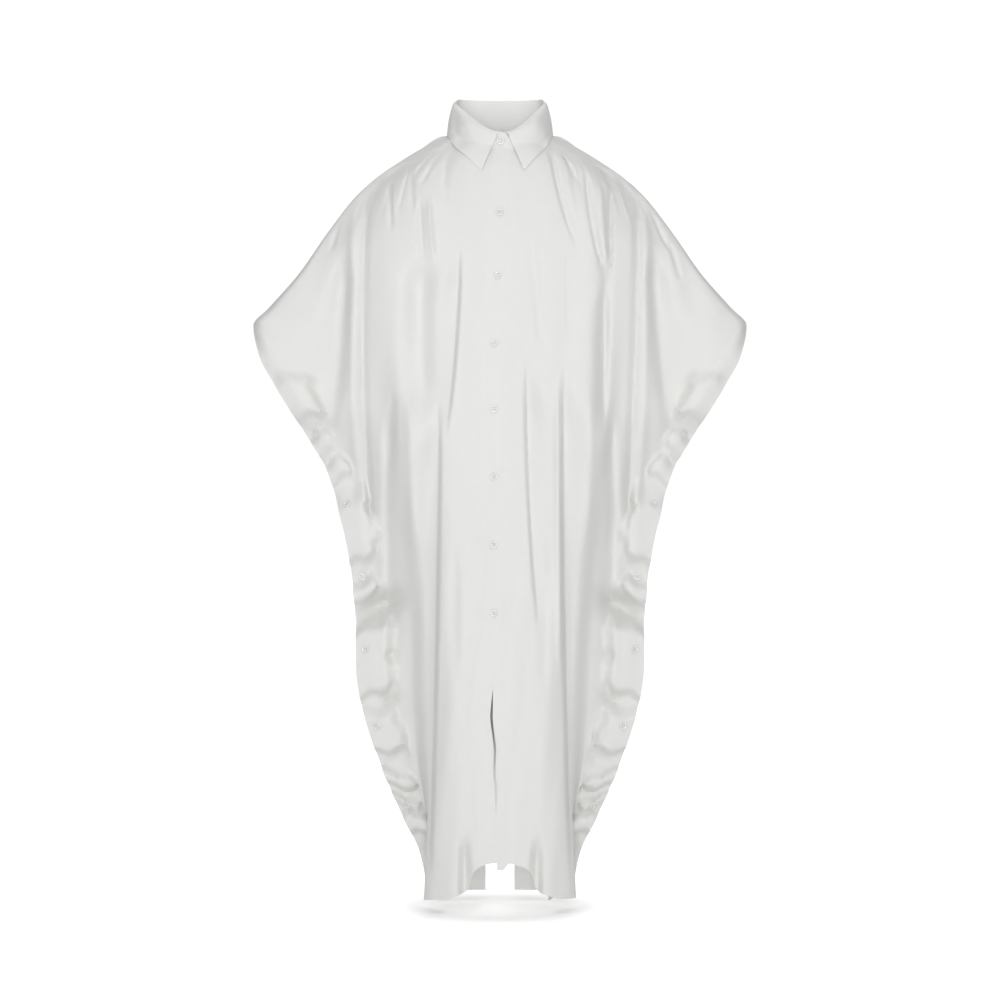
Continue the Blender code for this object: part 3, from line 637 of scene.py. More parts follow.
def ruffle(width_in, drop):
    """How far the ruffles push the cloth forward, and how far they lean in towards the centre, in mm."""
    out = np.zeros_like(drop)
    lean_in = np.zeros_like(drop)
    for top, foot, reach, height, lean, slant, swell in zip(*LOBES.values()):
        level = drop - slant * (width_in - reach / 2) + 4 * np.sin(width_in / 7 + top)
        reach = reach + 4 * np.sin(drop / 9 + foot) + 2.5 * np.sin(drop / 4.3 + top)
        half = (foot - top) / 2
        t = (level - top - half) / half
        drop_off = max(0.28, SOFTEST_FOOT / half)
        span = ease((1 + t) / swell) * (1 - ease((t - 1 + drop_off) / drop_off))
        w = width_in / reach
        rise = 0.85 + 0.15 * ease(w / 0.8)
        fall = 1 - ease((w - 0.82) / 0.5)
        out += height * span * rise * fall
        lean_in += lean * span * np.exp(-(((w - 0.88) / 0.2) ** 2))
    for middle, inner, half_drop, half_in, depth in zip(*PINCHES.values()):
        off_drop = (drop + 0.4 * (width_in - inner) - middle) / half_drop
        out += depth * np.exp(-(off_drop**2) - ((width_in - inner) / half_in) ** 2)
    return out, lean_in


# %% [markdown]
# ## From sections and folds to the cloth itself
# One function gives any point of a front or a back. It takes the level section, lifts it by the folds
# and the gathers, and pushes the side edge out by the ruffles. Folds fade out at the seams that hold
# them. The seams and hems are functions of their own, so every piece that meets there uses the same line.


# %% Seams at the top
COLLAR = table("""
at neck_x neck_y neck_z top_x top_y top_z leaf_x leaf_y leaf_z
0.00  0 -71   -27  0   -72   -4   30 -95 -63
0.08 18 -70 -26.5 12 -70.5 -2.5   33 -94 -61
0.20 40 -64   -23 28   -62    7   48 -84 -44
0.34 61 -47   -15 46   -42   24   68 -60 -23
0.50 75   0  -0.5 66     2   50 78.5   2 2.5
0.70 64  38    11 60    38   60   70  50  12
0.86 36  60    19 35    60 61.5   40  77  17
1.00  0  68    22  0    66   62    0  85  18
""")


def ridge_drop(x):
    """How low the shoulder and overarm line lies at this distance from the centre."""
    drops = np.linspace(SIDE["drop"][0], SLEEVE_POINT_DROP, SAMPLES.size)
    return np.interp(x, read(SIDE, "x", drops), drops)


def yoke_front_seam(x):
    fade = 1 - ease((x - 0.6 * YOKE_HALF_WIDTH) / (0.4 * YOKE_HALF_WIDTH))
    return ridge_drop(x) + YOKE_FRONT_DROP * fade


def yoke_back_seam(x):
    return mix(YOKE_BACK_DROP, ridge_drop(YOKE_HALF_WIDTH), (x / YOKE_HALF_WIDTH) ** 2)


def front_top(x):
    """Top edge of a front: the neck seam, then the yoke's front seam out to the shoulder."""
    front_half = COLLAR["at"] <= 0.5
    neck = -along(COLLAR["neck_x"][front_half], COLLAR["neck_z"][front_half], x)
    return np.where(x < NECK_CORNER_X, neck, yoke_front_seam(x))


# %% Hems and centre edges
HEM = table("""
x drop
  0   1072
 22 1075.5
 31   1080
 39   1087
 43   1097
 46   1111
 52   1118
 60   1121
 76   1128
100   1131
112   1134
120   1139
""")
OPENING = table("""
drop over_x under_x
  27     4    4
 126     0    0
 219    -3   -3
 318    -9   -9
 710    -9   -9
 770   -20   -1
 828 -28.2  6.8
 861 -31.2  6.4
 887 -28.2  9.0
 912 -26.1 11.5
 935 -26.9 10.3
 969 -24.6 13.0
1020 -22.2 10.6
1070 -20.4 12.4
""")


def front_hem(x):
    """The hem is cut up in the middle of the front and falls lower at the sides."""
    return read(HEM, "drop", x)


def back_hem(x):
    """Level, but a little shorter at the sides, where the bands pull it up."""
    return BACK_HEM_DROP - 11 * ease((x - 60) / 40)


def front_edge(side, drop):
    """How far from the centre line a front starts: it runs 8 mm in under its band."""
    middle = read(OPENING, "under_x" if side > 0 else "over_x", drop)
    return PLACKET_WIDTH / 2 - 8 + side * middle


def back_edge(side, drop):
    """The centre back seam, then the vent, whose edges hang straight. Both sides are the same."""
    return 0.05 + 22 * ease((drop - 1000) / 95)


# %% What differs between front and back
PARTS = {
    "front": {
        "rows": FRONT,
        "folds": FRONT_FOLDS,
        "gathers": gathers(11, 62, yoke_front_seam),
        "top": front_top,
        "hem": front_hem,
        "edge": front_edge,
        "out": -1,
        "inside": (0, 400, -500),
        "seed": 21,
        "ruffled": 1.0,
    },
    "back": {
        "rows": BACK,
        "folds": BACK_FOLDS,
        "gathers": gathers(12, 4, yoke_back_seam),
        "top": yoke_back_seam,
        "hem": back_hem,
        "edge": back_edge,
        "out": 1,
        "inside": (0, -400, -500),
        "seed": 22,
        "ruffled": 0.96,
    },
}
for part in PARTS.values():
    part["x"], part["to_edge"] = level_tables(part["rows"])

# %% The cloth of a front or a back
CUFF_DROP = 330.0
# The lengths, in mm, over which the large folds come free below a seam, the gathers too, the large folds
# again away from the stiff side edge, and the ruffles below the cuff.
FREE_BELOW_SEAM, GATHERED_BELOW_SEAM = 34, 6
STIFF_EDGE, FREE_FROM_EDGE = 20, 40
RUFFLED_BELOW_CUFF = 40
# The overarm seam is drawn shut this far below the sleeve point and in from the edge, so that no light
# shows through it.
SHUT_BELOW, SHUT_IN, SHUT_FADE = 20, 12, 8


def on_part(part, side, across, drop, raised=0.0):
    """Points of a part's outer face in mm, raised above it by so many mm."""
    x, y = section(part["rows"], drop, across)
    from_edge = at_grid(part["to_edge"], across * (SAMPLES.size - 1), (drop - LEVELS[0]) / LEVEL_STEP)
    below_seam = drop - part["top"](x)
    free = ease((below_seam + 3) / FREE_BELOW_SEAM) * ease((from_edge - STIFF_EDGE) / FREE_FROM_EDGE)
    lift = fold_lift(part["folds"], side, x, drop) + unevenness(part["seed"], side * x, drop)
    gathered = ease(below_seam / GATHERED_BELOW_SEAM)
    lift = lift * free + fold_lift(part["gathers"], side, x, drop) * gathered
    below_arm = ease((drop - CUFF_DROP) / RUFFLED_BELOW_CUFF)
    out, lean_in = ruffle(from_edge, drop)
    x = x - lean_in * below_arm
    y = y - part["ruffled"] * out * below_arm
    shut = ease((SLEEVE_POINT_DROP + SHUT_BELOW - drop) / SHUT_BELOW)
    shut = shut * ease((SHUT_IN - from_edge) / SHUT_FADE)
    return np.stack([side * x, y + part["out"] * (lift + raised - shut), -drop], axis=-1)


# %% The grid of a front or a back
COLUMNS, ROWS = 184, 200
TUCKED_IN = 5.0
# The front hem's curve is drawn out a little on the wearer's left.
HEM_STRETCH = {-1: 1.0, 1: 1.14}
# The hem runs level beyond this share of the width, and the top row is blended in over this share of the
# height.
LEVEL_HEM_FROM, TOP_BLEND = 0.75, 0.12


def band_width(drop):
    """The side band starts as a point on the overarm seam and widens to its full width."""
    return BAND_WIDTH * ease((drop - BAND_START_DROP) / 70) ** 0.7


def panel_grid(part, side):
    """Corners of half a front or back. All its edges run on a little under what they are sewn to."""
    shoulder = part["top"](np.array([YOKE_HALF_WIDTH]))[0] - TUCKED_IN
    hem = part["hem"](np.array([YOKE_HALF_WIDTH]))[0]
    down = np.linspace(0, 1, ROWS + 1)
    u = np.linspace(0, 1, COLUMNS + 1)
    outer_drop = mix(shoulder, hem, down)
    start_x = part["edge"](side, part["top"](np.zeros(1)))[0]
    top_x = mix(start_x, YOKE_HALF_WIDTH, u)
    top_drop = part["top"](top_x) - TUCKED_IN
    top_across = np.append(across_at_x(part, top_drop[:-1], top_x[:-1]), 1.0)
    centre_hem = part["hem"](np.zeros(1))
    hem_in = across_at_x(part, centre_hem, part["edge"](side, centre_hem))
    hem_out = across_from_edge(part, outer_drop[-1:], [BAND_WIDTH - TUCKED_IN])
    hem_x, _ = section(part["rows"], outer_drop[-1], mix(hem_in, hem_out, u))
    hem_drop = np.where(u > LEVEL_HEM_FROM, outer_drop[-1], part["hem"](hem_x / HEM_STRETCH[side]))
    drop = mix(top_drop[None, :], hem_drop[None, :], down[:, None])
    width = np.clip(band_width(outer_drop) - TUCKED_IN, 0, None)
    inner = across_at_x(part, drop[:, 0], part["edge"](side, drop[:, 0]))
    outer = across_from_edge(part, outer_drop, width)
    across = mix(inner[:, None], outer[:, None], u[None, :])
    across = mix(top_across[None, :], across, ease(down / TOP_BLEND)[:, None])
    return on_part(part, side, across.ravel(), drop.ravel()).reshape(down.size, u.size, 3)


# %% [markdown]
# ## Sheets of cloth
# Each piece of cloth is one grid of quads, bent to its form, and a Solidify modifier gives it a wall,
# which then becomes part of its mesh. The grid is close, about 2 mm by 6 mm, because a fold that is
# sampled too coarsely shades in steps. The UV map unrolls the piece again: it measures along the bent
# rows and columns, so it is the cut of the cloth in metres, and the weave keeps its size and follows
# every fold.

# %% Forms and pieces, both kept by the name of the solid they stand for
# A form is a grid of corners in mm, and a point on its inner side.
Form = namedtuple("Form", "grid inside")
forms, sheets = {}, {}


def measured(grid):
    """How far each corner lies along its row and down its column, in metres."""
    rows = np.linalg.norm(np.diff(grid, axis=1), axis=-1).cumsum(axis=1)
    columns = np.linalg.norm(np.diff(grid, axis=0), axis=-1).cumsum(axis=0)
    return np.pad(rows, ((0, 0), (1, 0))) * MM, np.pad(columns, ((1, 0), (0, 0))) * MM


def add_piece(name, mesh, material):
    mesh.materials.append(material)
    mesh.shade_smooth()
    piece = add_object(name, mesh)
    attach(piece, "root")
    return piece


def baked(thing):
    """The mesh of an object with its modifiers worked into it."""
    return bpy.data.meshes.new_from_object(thing.evaluated_get(bpy.context.evaluated_depsgraph_get()))


# %% One function for every sheet
CLOTHS = {
    "dress_poplin": dress_poplin,
    "band_poplin": band_poplin,
    "collar_poplin": collar_poplin,
    "pocket_poplin": dress_poplin,
}
SHARP_ANGLE = math.radians(60)


def add_sheet(name, replaced, form, wall, slot, cloth=None, grow=-1, skip=None, cut=None):
    """A grid bent to a form, its faces away from the inside point, that stands for the replaced solid.

    skip says which faces to leave out, by column and row, and cut trims the bent grid. The wall grows
    inwards at -1 and outwards at 1, and edges sharper than the sharp angle are shaded as edges.
    """
    rows, columns = form.grid.shape[0] - 1, form.grid.shape[1] - 1
    along_row, down_column = measured(form.grid)
    bm = bmesh.new()
    bmesh.ops.create_grid(bm, x_segments=columns, y_segments=rows, size=0.5)
    spots = {v: (round((v.co.x + 0.5) * columns), round((v.co.y + 0.5) * rows)) for v in bm.verts}
    uv = bm.loops.layers.uv.new("cut")
    for face in bm.faces:
        for loop in face.loops:
            column, row = spots[loop.vert]
            loop[uv].uv = (along_row[row, column], -down_column[row, column])
    if skip:
        corner = {face: min(spots[vert] for vert in face.verts) for face in bm.faces}
        bmesh.ops.delete(bm, geom=[face for face in bm.faces if skip(*corner[face])], context="FACES")
    for vert in bm.verts:
        column, row = spots[vert]
        vert.co = Vector(form.grid[row, column] * MM)
    if cut:
        cut(bm)
    bm.normal_update()
    inside = Vector(form.inside) * MM
    facing = (face.calc_area() * face.normal.dot(face.calc_center_median() - inside) for face in bm.faces)
    if sum(facing) < 0:
        bmesh.ops.reverse_faces(bm, faces=bm.faces[:])
    mesh = finished_mesh(name, bm)
    piece = add_piece(name, mesh, cloth or CLOTHS[slot])
    solidify = piece.modifiers.new("wall", "SOLIDIFY")
    solidify.thickness = wall * MM
    solidify.offset = grow
    walled = baked(piece)
    walled.set_sharp_from_angle(angle=SHARP_ANGLE)
    piece.modifiers.clear()
    piece.data = walled
    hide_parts(replaced)
    forms[replaced], sheets[replaced] = form, piece
    print(name, len(mesh.polygons), "quads")


# %% [markdown]
# ## Fronts and backs
# Poplin for shirts is about a quarter of a millimetre thick. The wall here is 0.8 mm, thick enough for
# its edges to show at the hems as a turned hem does.

# %% The four main panels
WEARER = {-1: "right", 1: "left"}
PANEL_WALL = 0.8
for side, word in WEARER.items():
    for part_name, part in PARTS.items():
        panel = f"{part_name}_{word}"
        form = Form(panel_grid(part, side), part["inside"])
        add_sheet(f"cloth_{panel}", panel, form, PANEL_WALL, "dress_poplin")

# %% [markdown]
# ## Side bands
# A band of doubled cloth finishes each curved side edge, so it is thicker and stiffer than the rest. It
# starts as a point on the overarm seam and is sewn over the panel's edge, so it lies a little proud.

# %% Side bands
BAND_COLUMNS = 16
BAND_WALL = 1.0
BAND_RAISED = 0.8
SEAM_RAISED = 0.2


def band_grid(part, side):
    """Corners of a side band: from its seam to the side edge, from the sleeve point to the hem."""
    hem = part["hem"](np.array([YOKE_HALF_WIDTH]))[0]
    seam_drop = np.linspace(BAND_START_DROP, hem, ROWS + 1)
    lead = SLEEVE_POINT_DROP - BAND_START_DROP
    edge_drop = seam_drop + lead * (1 - ease((seam_drop - BAND_START_DROP) / 110))
    outward_share = np.linspace(0, 1, BAND_COLUMNS + 1)
    drop = mix(seam_drop[:, None], edge_drop[:, None], outward_share)
    width = band_width(seam_drop)[:, None] * (1 - outward_share)
    across = across_from_edge(part, drop.ravel(), width.ravel())
    raised = ease(4 * outward_share) * ease((seam_drop[:, None] - BAND_START_DROP) / 15)
    raised = mix(SEAM_RAISED, BAND_RAISED, raised)
    return on_part(part, side, across, drop.ravel(), raised.ravel()).reshape(*drop.shape, 3)


for side, word in WEARER.items():
    for part_name, part in PARTS.items():
        band = f"side_band_{part_name}_{word}"
        form = Form(band_grid(part, side), part["inside"])
        add_sheet(f"cloth_{band}", band, form, BAND_WALL, "band_poplin")

# %% [markdown]
# ## Front bands
# The front closes with two straight bands of doubled cloth. The one with the buttonholes, on the
# wearer's right front, lies over the one with the buttons. They are buttoned down to the knee. Below
# that they part, and the lower band swings clear and shows its corner at the hem.

# %% Front bands
PLACKET_COLUMNS = 12
PLACKET_TOP_DROP = 21.0
OVER_RAISED, UNDER_RAISED, PLACKET_EDGE_RAISED = 1.0, 0.35, 0.4 * SEAM_RAISED
UNDER_CORNER_FALL = 11.0


def placket_grid(column, raised):
    """Corners of a front band: straight across, its middle line from a column of the opening table."""
    down = np.linspace(0, 1, ROWS + 1)
    foot_x = read(OPENING, column, OPENING["drop"][-1])
    lines = []
    for offset in np.linspace(-0.5, 0.5, PLACKET_COLUMNS + 1) * PLACKET_WIDTH:
        foot = front_hem(np.abs(foot_x + offset))
        if column == "under_x":
            foot = foot + UNDER_CORNER_FALL * ease((14 - foot_x - offset) / 10)
        drop = mix(PLACKET_TOP_DROP, foot, down)
        x = read(OPENING, column, drop) + offset
        across = across_at_x(PARTS["front"], drop, np.abs(x))
        lift = mix(PLACKET_EDGE_RAISED, raised, ease((PLACKET_WIDTH / 2 - abs(offset)) / 7))
        right, left = (on_part(PARTS["front"], side, across, drop, lift) for side in WEARER)
        lines.append(np.where(x[:, None] < 0, right, left))
    return np.stack(lines, axis=1)


for word, column, raised in (("buttonhole", "over_x", OVER_RAISED), ("button", "under_x", UNDER_RAISED)):
    form = Form(placket_grid(column, raised), PARTS["front"]["inside"])
    add_sheet(f"cloth_{word}_band", f"{word}_placket", form, BAND_WALL, "band_poplin")

# %% [markdown]
# ## Yoke
# The yoke is the smooth piece over both shoulders that carries everything else. It is fitted, so it has
# no folds of its own. The fronts hang from it just in front of the shoulder line and the backs from a
# nearly level seam across the shoulder blades.

# %% Places round the neck
COLLAR_SHIFT_X = 4.0
CORNER_AT, SHOULDER_AT = 0.34, 0.50


def collar_point(kind, at):
    """A point on half of the collar: kind is neck, top or leaf."""
    return np.stack([read(COLLAR, f"{kind}_{axis}", at) for axis in "xyz"], axis=-1)


def outward(points, distance):
    """The points moved away from the neck's own axis, level."""
    level = points * (1, 1, 0)
    return points + level / np.linalg.norm(level, axis=-1, keepdims=True) * np.expand_dims(distance, -1)


# %% Form of the yoke
YOKE_NECK_COLUMNS, YOKE_SHOULDER_COLUMNS = 18, 30
YOKE_FRONT_ROWS, YOKE_BACK_ROWS = 8, 18


def yoke_grid():
    """Corners of the yoke. Columns run across the shoulders, rows from the front seam to the back seam."""
    neck, shoulder = YOKE_NECK_COLUMNS, YOKE_SHOULDER_COLUMNS
    half = []
    over_top = np.linspace(0, 1, YOKE_FRONT_ROWS + 1)
    down = np.linspace(0, 1, YOKE_BACK_ROWS + 1)[1:]
    for column in range(neck + shoulder + 1):
        out = max(0.0, (column - neck) / shoulder)
        back_x = mix(0.0, SHOULDER_X, min(1.0, column / neck))
        if column < neck:
            start = collar_point("neck", mix(1.0, SHOULDER_AT, column / neck))
            first = np.repeat(start, YOKE_FRONT_ROWS + 1, axis=0)
        else:
            ring = collar_point("neck", mix(CORNER_AT, SHOULDER_AT, over_top))
            x = mix(ring[:, 0], YOKE_HALF_WIDTH - 1, out)
            drop = mix(yoke_front_seam(x), ridge_drop(x), 1 - (1 - over_top) ** 1.6)
            y = section(FRONT, drop, across_at_x(PARTS["front"], drop, x))[1] * (1 - over_top**3)
            on_ring = 1 - ease(3 * out * (7 - 6 * over_top))
            y = mix(y, ring[:, 1], on_ring)
            z = mix(-drop, ring[:, 2], on_ring)
            first = np.stack([x, y, z], axis=-1)
            start = first[-1:]
            back_x = x[-1]
        steep = mix(1.0, 1.6, min(1.0, column / neck))
        x = mix(start[0, 0], back_x, down)
        drop = mix(-start[0, 2], yoke_back_seam(back_x), down**steep)
        y = section(BACK, drop, across_at_x(PARTS["back"], drop, x))[1]
        y = mix(start[0, 1], y, ease(down / 0.5))
        half.append(np.concatenate([first, np.stack([x, y, -drop], axis=-1)]))
    half = np.stack(half, axis=1)
    return np.concatenate([half[:, :0:-1] * (-1, 1, 1), half], axis=1)


# %% Yoke
YOKE_RAISED = 0.5
BELOW_THE_YOKE = (0, 0, -300)


def off_yoke(column, row):
    """Faces of the yoke's grid that would lie over the neck opening."""
    middle = YOKE_NECK_COLUMNS + YOKE_SHOULDER_COLUMNS
    return row < YOKE_FRONT_ROWS and middle - YOKE_NECK_COLUMNS <= column < middle + YOKE_NECK_COLUMNS


def face_directions(form):
    """Unit directions square to a form at its corners, pointing away from the inside point."""
    direction = np.cross(np.gradient(form.grid, axis=1), np.gradient(form.grid, axis=0))
    direction /= np.linalg.norm(direction, axis=-1, keepdims=True) + 1e-9
    return direction * np.sign(np.sum(direction * (form.grid - form.inside)))


def moved_out(form, distance):
    """A form moved out square to itself, by so many mm."""
    return Form(form.grid + distance * face_directions(form), form.inside)


form = Form(yoke_grid(), BELOW_THE_YOKE)
from_seam = np.minimum(np.arange(len(form.grid)), np.arange(len(form.grid))[::-1])
lift = mix(SEAM_RAISED, YOKE_RAISED, ease(from_seam / 2))[:, None, None]
form = moved_out(form, lift)
add_sheet("cloth_yoke", "yoke", form, PANEL_WALL, "dress_poplin", cloth=band_poplin, skip=off_yoke)

# %% [markdown]
# ## Collar
# A shirt collar is two pieces: a stand, which goes round the neck and buttons in front, and a leaf, sewn
# to the top of the stand, which folds over and falls. Both are doubled and fused, so they stand up stiff
# and smooth, and the fold between them is a soft roll.

# %% Stand
COLLAR_WALL = 1.2
RING_COLUMNS = 120
STAND_ROWS = 10
STAND_RAISED = 0.9
# The stand runs past the front by this share of half the ring, and below the neck seam by this share of
# its height. One end laps over the other by this much each way, in mm, and their corners are rounded.
STAND_EXTENSION, STAND_TUCK = 0.07, 0.1
STAND_LAP, STAND_CORNER = 1.4, 9


def ring_row(kind, s):
    """A row of collar points: s runs from -1 at centre front over 0 at centre back to 1 at centre front."""
    at = 1 - np.abs(s)
    points = collar_point(kind, np.abs(at))
    points[:, 0] *= np.sign(s) * np.where(at < 0, -1, 1)
    points[:, 0] += COLLAR_SHIFT_X * (1 - ease(np.abs(at) / SHOULDER_AT))
    return points


def stand_grid():
    """Corners of the stand. Its right end laps over its left end, with the button between."""
    s = np.linspace(-1 - STAND_EXTENSION, 1 + STAND_EXTENSION, RING_COLUMNS + 1)
    lap = STAND_LAP * (ease((-s - 0.84) / 0.1) - ease((s - 0.84) / 0.1)) + STAND_RAISED
    neck, top = (outward(ring_row(kind, s), lap) for kind in ("neck", "top"))
    share = np.linspace(-STAND_TUCK, 1, STAND_ROWS + 1)[:, None, None]
    rows = mix(neck, top, share)
    end = ease((np.abs(s) - 0.96) / (0.04 + STAND_EXTENSION))
    rows[..., 2] -= STAND_CORNER * end**2 * np.clip(share[..., 0], 0, 1) ** 2
    return rows


# %% Leaf
LEAF_START_AT = 0.035
LEAF_ROWS = 20
LEAF_CLEAR_TOP, LEAF_CLEAR_EDGE = 2.4, 1.6
# In mm: how far the roll stands out from the stand's top and above it, how far the sewn edge lies below
# the roll, and how far the leaf bows out on its way down.
ROLL_OUT, ROLL_UP, SEWN_EDGE_BELOW = 2.6, 1.2, 1.4
BOW_BEHIND, BOW_IN_FRONT = 1.6, 2.0


def under_leaf(points):
    """y of what the leaf lies on in front: the stand, and below it the fronts."""
    x, drop = np.abs(points[:, 0]), np.clip(-points[:, 2], 0, None)
    ring = COLLAR["at"] <= 0.5
    from_middle = np.abs(points[:, 0] - COLLAR_SHIFT_X)
    stand_y = along(COLLAR["neck_x"][ring], COLLAR["neck_y"][ring], from_middle)
    return np.minimum(stand_y, section(FRONT, drop, across_at_x(PARTS["front"], drop, x))[1])


def leaf_grid():
    """Corners of the leaf: over a soft roll at the stand's top, then down to its outer edge."""
    s = np.linspace(LEAF_START_AT - 1, 1 - LEAF_START_AT, RING_COLUMNS + 1)
    top = outward(ring_row("top", s), ROLL_OUT + 0 * s) + (0, 0, ROLL_UP)
    edge = ring_row("leaf", s)
    in_front = ease((np.abs(s) - 0.55) / 0.16)
    rows = []
    for fall in np.linspace(0, 1, LEAF_ROWS + 1):
        bow = math.sin(math.pi * fall)
        roll = BOW_BEHIND * bow - ROLL_OUT * (1 - ease(fall / 0.12))
        row = outward(mix(top, edge, fall), roll + 0 * s)
        row[:, 2] -= SEWN_EDGE_BELOW * (1 - ease(fall / 0.08))
        lying = under_leaf(row) - mix(LEAF_CLEAR_TOP, LEAF_CLEAR_EDGE, fall) - BOW_IN_FRONT * bow
        row[:, 1] = mix(row[:, 1], lying, in_front * ease(fall / 0.25))
        rows.append(row)
    return np.stack(rows)


IN_THE_NECK = (0, 0, 20)
for word, grid, grow in (("stand", stand_grid(), -1), ("leaf", leaf_grid(), 1)):
    form = Form(grid, IN_THE_NECK)
    add_sheet(f"cloth_collar_{word}", f"collar_{word}", form, COLLAR_WALL, "collar_poplin", grow=grow)

# %% [markdown]
# ## Chest pocket
# A patch of one layer lies on the left front. It takes the front's own folds, so it is cut out of the
# front's surface with planes, along its sides and its pointed foot, and moved out by a hair.

# %% Pocket
POCKET_INNER_X, POCKET_OUTER_X = 96.0, 150.0
POCKET_MIDDLE_X = (POCKET_INNER_X + POCKET_OUTER_X) / 2
POCKET_TOP_DROP, POCKET_SIDE_DROP, POCKET_POINT_DROP = 188.0, 303.0, 312.0
POCKET_RAISED = 1.3


def cut_pocket(bm):
    """Leaves only the faces under the pocket."""
    point = (POCKET_MIDDLE_X, 0, -POCKET_POINT_DROP)
    slope = (POCKET_POINT_DROP - POCKET_SIDE_DROP) / (POCKET_MIDDLE_X - POCKET_INNER_X)
    cuts = (
        ((POCKET_INNER_X, 0, 0), (-1, 0, 0)),
        ((POCKET_OUTER_X, 0, 0), (1, 0, 0)),
        ((0, 0, -POCKET_TOP_DROP), (0, 0, 1)),
        (point, (-slope, 0, -1)),
        (point, (slope, 0, -1)),
    )
    for spot, direction in cuts:
        everything = bm.verts[:] + bm.edges[:] + bm.faces[:]
        bmesh.ops.bisect_plane(
            bm, geom=everything, dist=1e-6, plane_co=Vector(spot) * MM, plane_no=direction, clear_outer=True
        )


form = moved_out(forms["front_left"], POCKET_RAISED)
add_sheet("cloth_chest_pocket", "chest_pocket", form, PANEL_WALL, "pocket_poplin", cut=cut_pocket)

# %% [markdown]
# ## Buttons
# A shirt button is a small turned disc: flat back, rounded edge, raised rim and a dish with four holes.
# The profile is spun round its axis and the holes are cut through with a boolean. Each button is a copy
# with its own place in its mesh, held by a cross of thread that goes down through the holes.

# %% Disc and drills
BUTTON_DIAMETER, BUTTON_THICKNESS = 11.5, 2.6
BUTTON_RIM, BUTTON_DISH, BUTTON_EDGE = 2.0, 0.7, 0.5
BUTTON_HOLE, BUTTON_HOLE_SPACING = 1.7, 3.0


def turned_disc():
    """A mesh of the disc without holes, lying flat on the origin."""
    radius, half = BUTTON_DIAMETER / 2, BUTTON_THICKNESS / 2
    profile = (
        (0, half - BUTTON_DISH),
        (radius - BUTTON_RIM - 2 * BUTTON_EDGE, half - BUTTON_DISH),
        (radius - BUTTON_RIM - BUTTON_EDGE, half - 0.6 * BUTTON_DISH),
        (radius - BUTTON_RIM, half - 0.1),
        (radius - BUTTON_RIM + BUTTON_EDGE, half),
        (radius - BUTTON_EDGE, half - 0.15),
        (radius - 0.1, half - 0.6),
        (radius, 0),
        (radius - 0.3, -half + 0.5),
        (radius - 2 * BUTTON_EDGE, -half),
        (0, -half),
    )
    bm = bmesh.new()
    spots = [bm.verts.new((x * MM, 0, z * MM)) for x, z in profile]
    line = [bm.edges.new(pair) for pair in zip(spots, spots[1:])]
    bmesh.ops.spin(
        bm, geom=spots + line, cent=(0, 0, 0), axis=(0, 0, 1), angle=math.tau, steps=40, use_merge=True
    )
    bmesh.ops.remove_doubles(bm, verts=bm.verts[:], dist=1e-6)
    bmesh.ops.recalc_face_normals(bm, faces=bm.faces[:])
    return finished_mesh("turned_disc", bm)


def four_drills():
    """A mesh of four rods that stand where the holes go."""
    bm = bmesh.new()
    radius, depth = BUTTON_HOLE / 2 * MM, 3 * BUTTON_THICKNESS * MM
    for side_x, side_y in ((-1, -1), (1, -1), (1, 1), (-1, 1)):
        rod = bmesh.ops.create_cone(
            bm, segments=14, radius1=radius, radius2=radius, depth=depth, cap_ends=True
        )
        offset = Vector((side_x, side_y, 0)) * BUTTON_HOLE_SPACING / 2 * MM
        bmesh.ops.translate(bm, verts=rod["verts"], vec=offset)
    return finished_mesh("four_drills", bm)


# %% One button and one cross of thread
CROSS_HALF_WIDTH, CROSS_HALF_HEIGHT, CROSS_RISE = 0.42, 0.36, 0.12


def button_mesh():
    """The disc with its holes drilled through."""
    disc, drills = add_object("turned_disc", turned_disc()), add_object("four_drills", four_drills())
    holes = disc.modifiers.new("holes", "BOOLEAN")
    holes.operation = "DIFFERENCE"
    holes.solver = "EXACT"
    holes.object = drills
    button = baked(disc)
    for helper in (disc, drills):
        bpy.data.objects.remove(helper)
    return button


def cross_mesh():
    """Two bars of thread from hole to hole across the middle, over the dish."""
    bm = bmesh.new()
    reach = BUTTON_HOLE_SPACING * math.sqrt(2)
    half_size = Vector((reach / 2 * 1.05, CROSS_HALF_WIDTH, CROSS_HALF_HEIGHT)) * MM
    height = (BUTTON_THICKNESS / 2 - BUTTON_DISH + CROSS_RISE) * MM
    for turn in (45, 135):
        made = bmesh.ops.create_uvsphere(bm, u_segments=8, v_segments=6, radius=1)["verts"]
        bmesh.ops.scale(bm, verts=made, vec=half_size)
        bmesh.ops.rotate(bm, verts=made, matrix=Matrix.Rotation(math.radians(turn), 3, "Z"))
        bmesh.ops.translate(bm, verts=made, vec=(0, 0, height))
    return finished_mesh("thread_cross", bm)


shared_button, shared_cross = button_mesh(), cross_mesh()
print("one button:", len(shared_button.vertices), "corners")


# %% Placing a button
# How far a button's middle stands off its cloth.
BUTTON_LIFT = 0.5 + BUTTON_THICKNESS / 2


def frame_at(place, out, down):
    """A matrix, in metres, whose Z points out of the cloth and whose Y points up it."""
    z = Vector(out).normalized()
    y = -(Vector(down) - Vector(down).dot(z) * z).normalized()
    x = y.cross(z)
    turn = Matrix((x, y, z)).transposed().to_4x4()
    return Matrix.Translation(Vector(place) * MM) @ turn


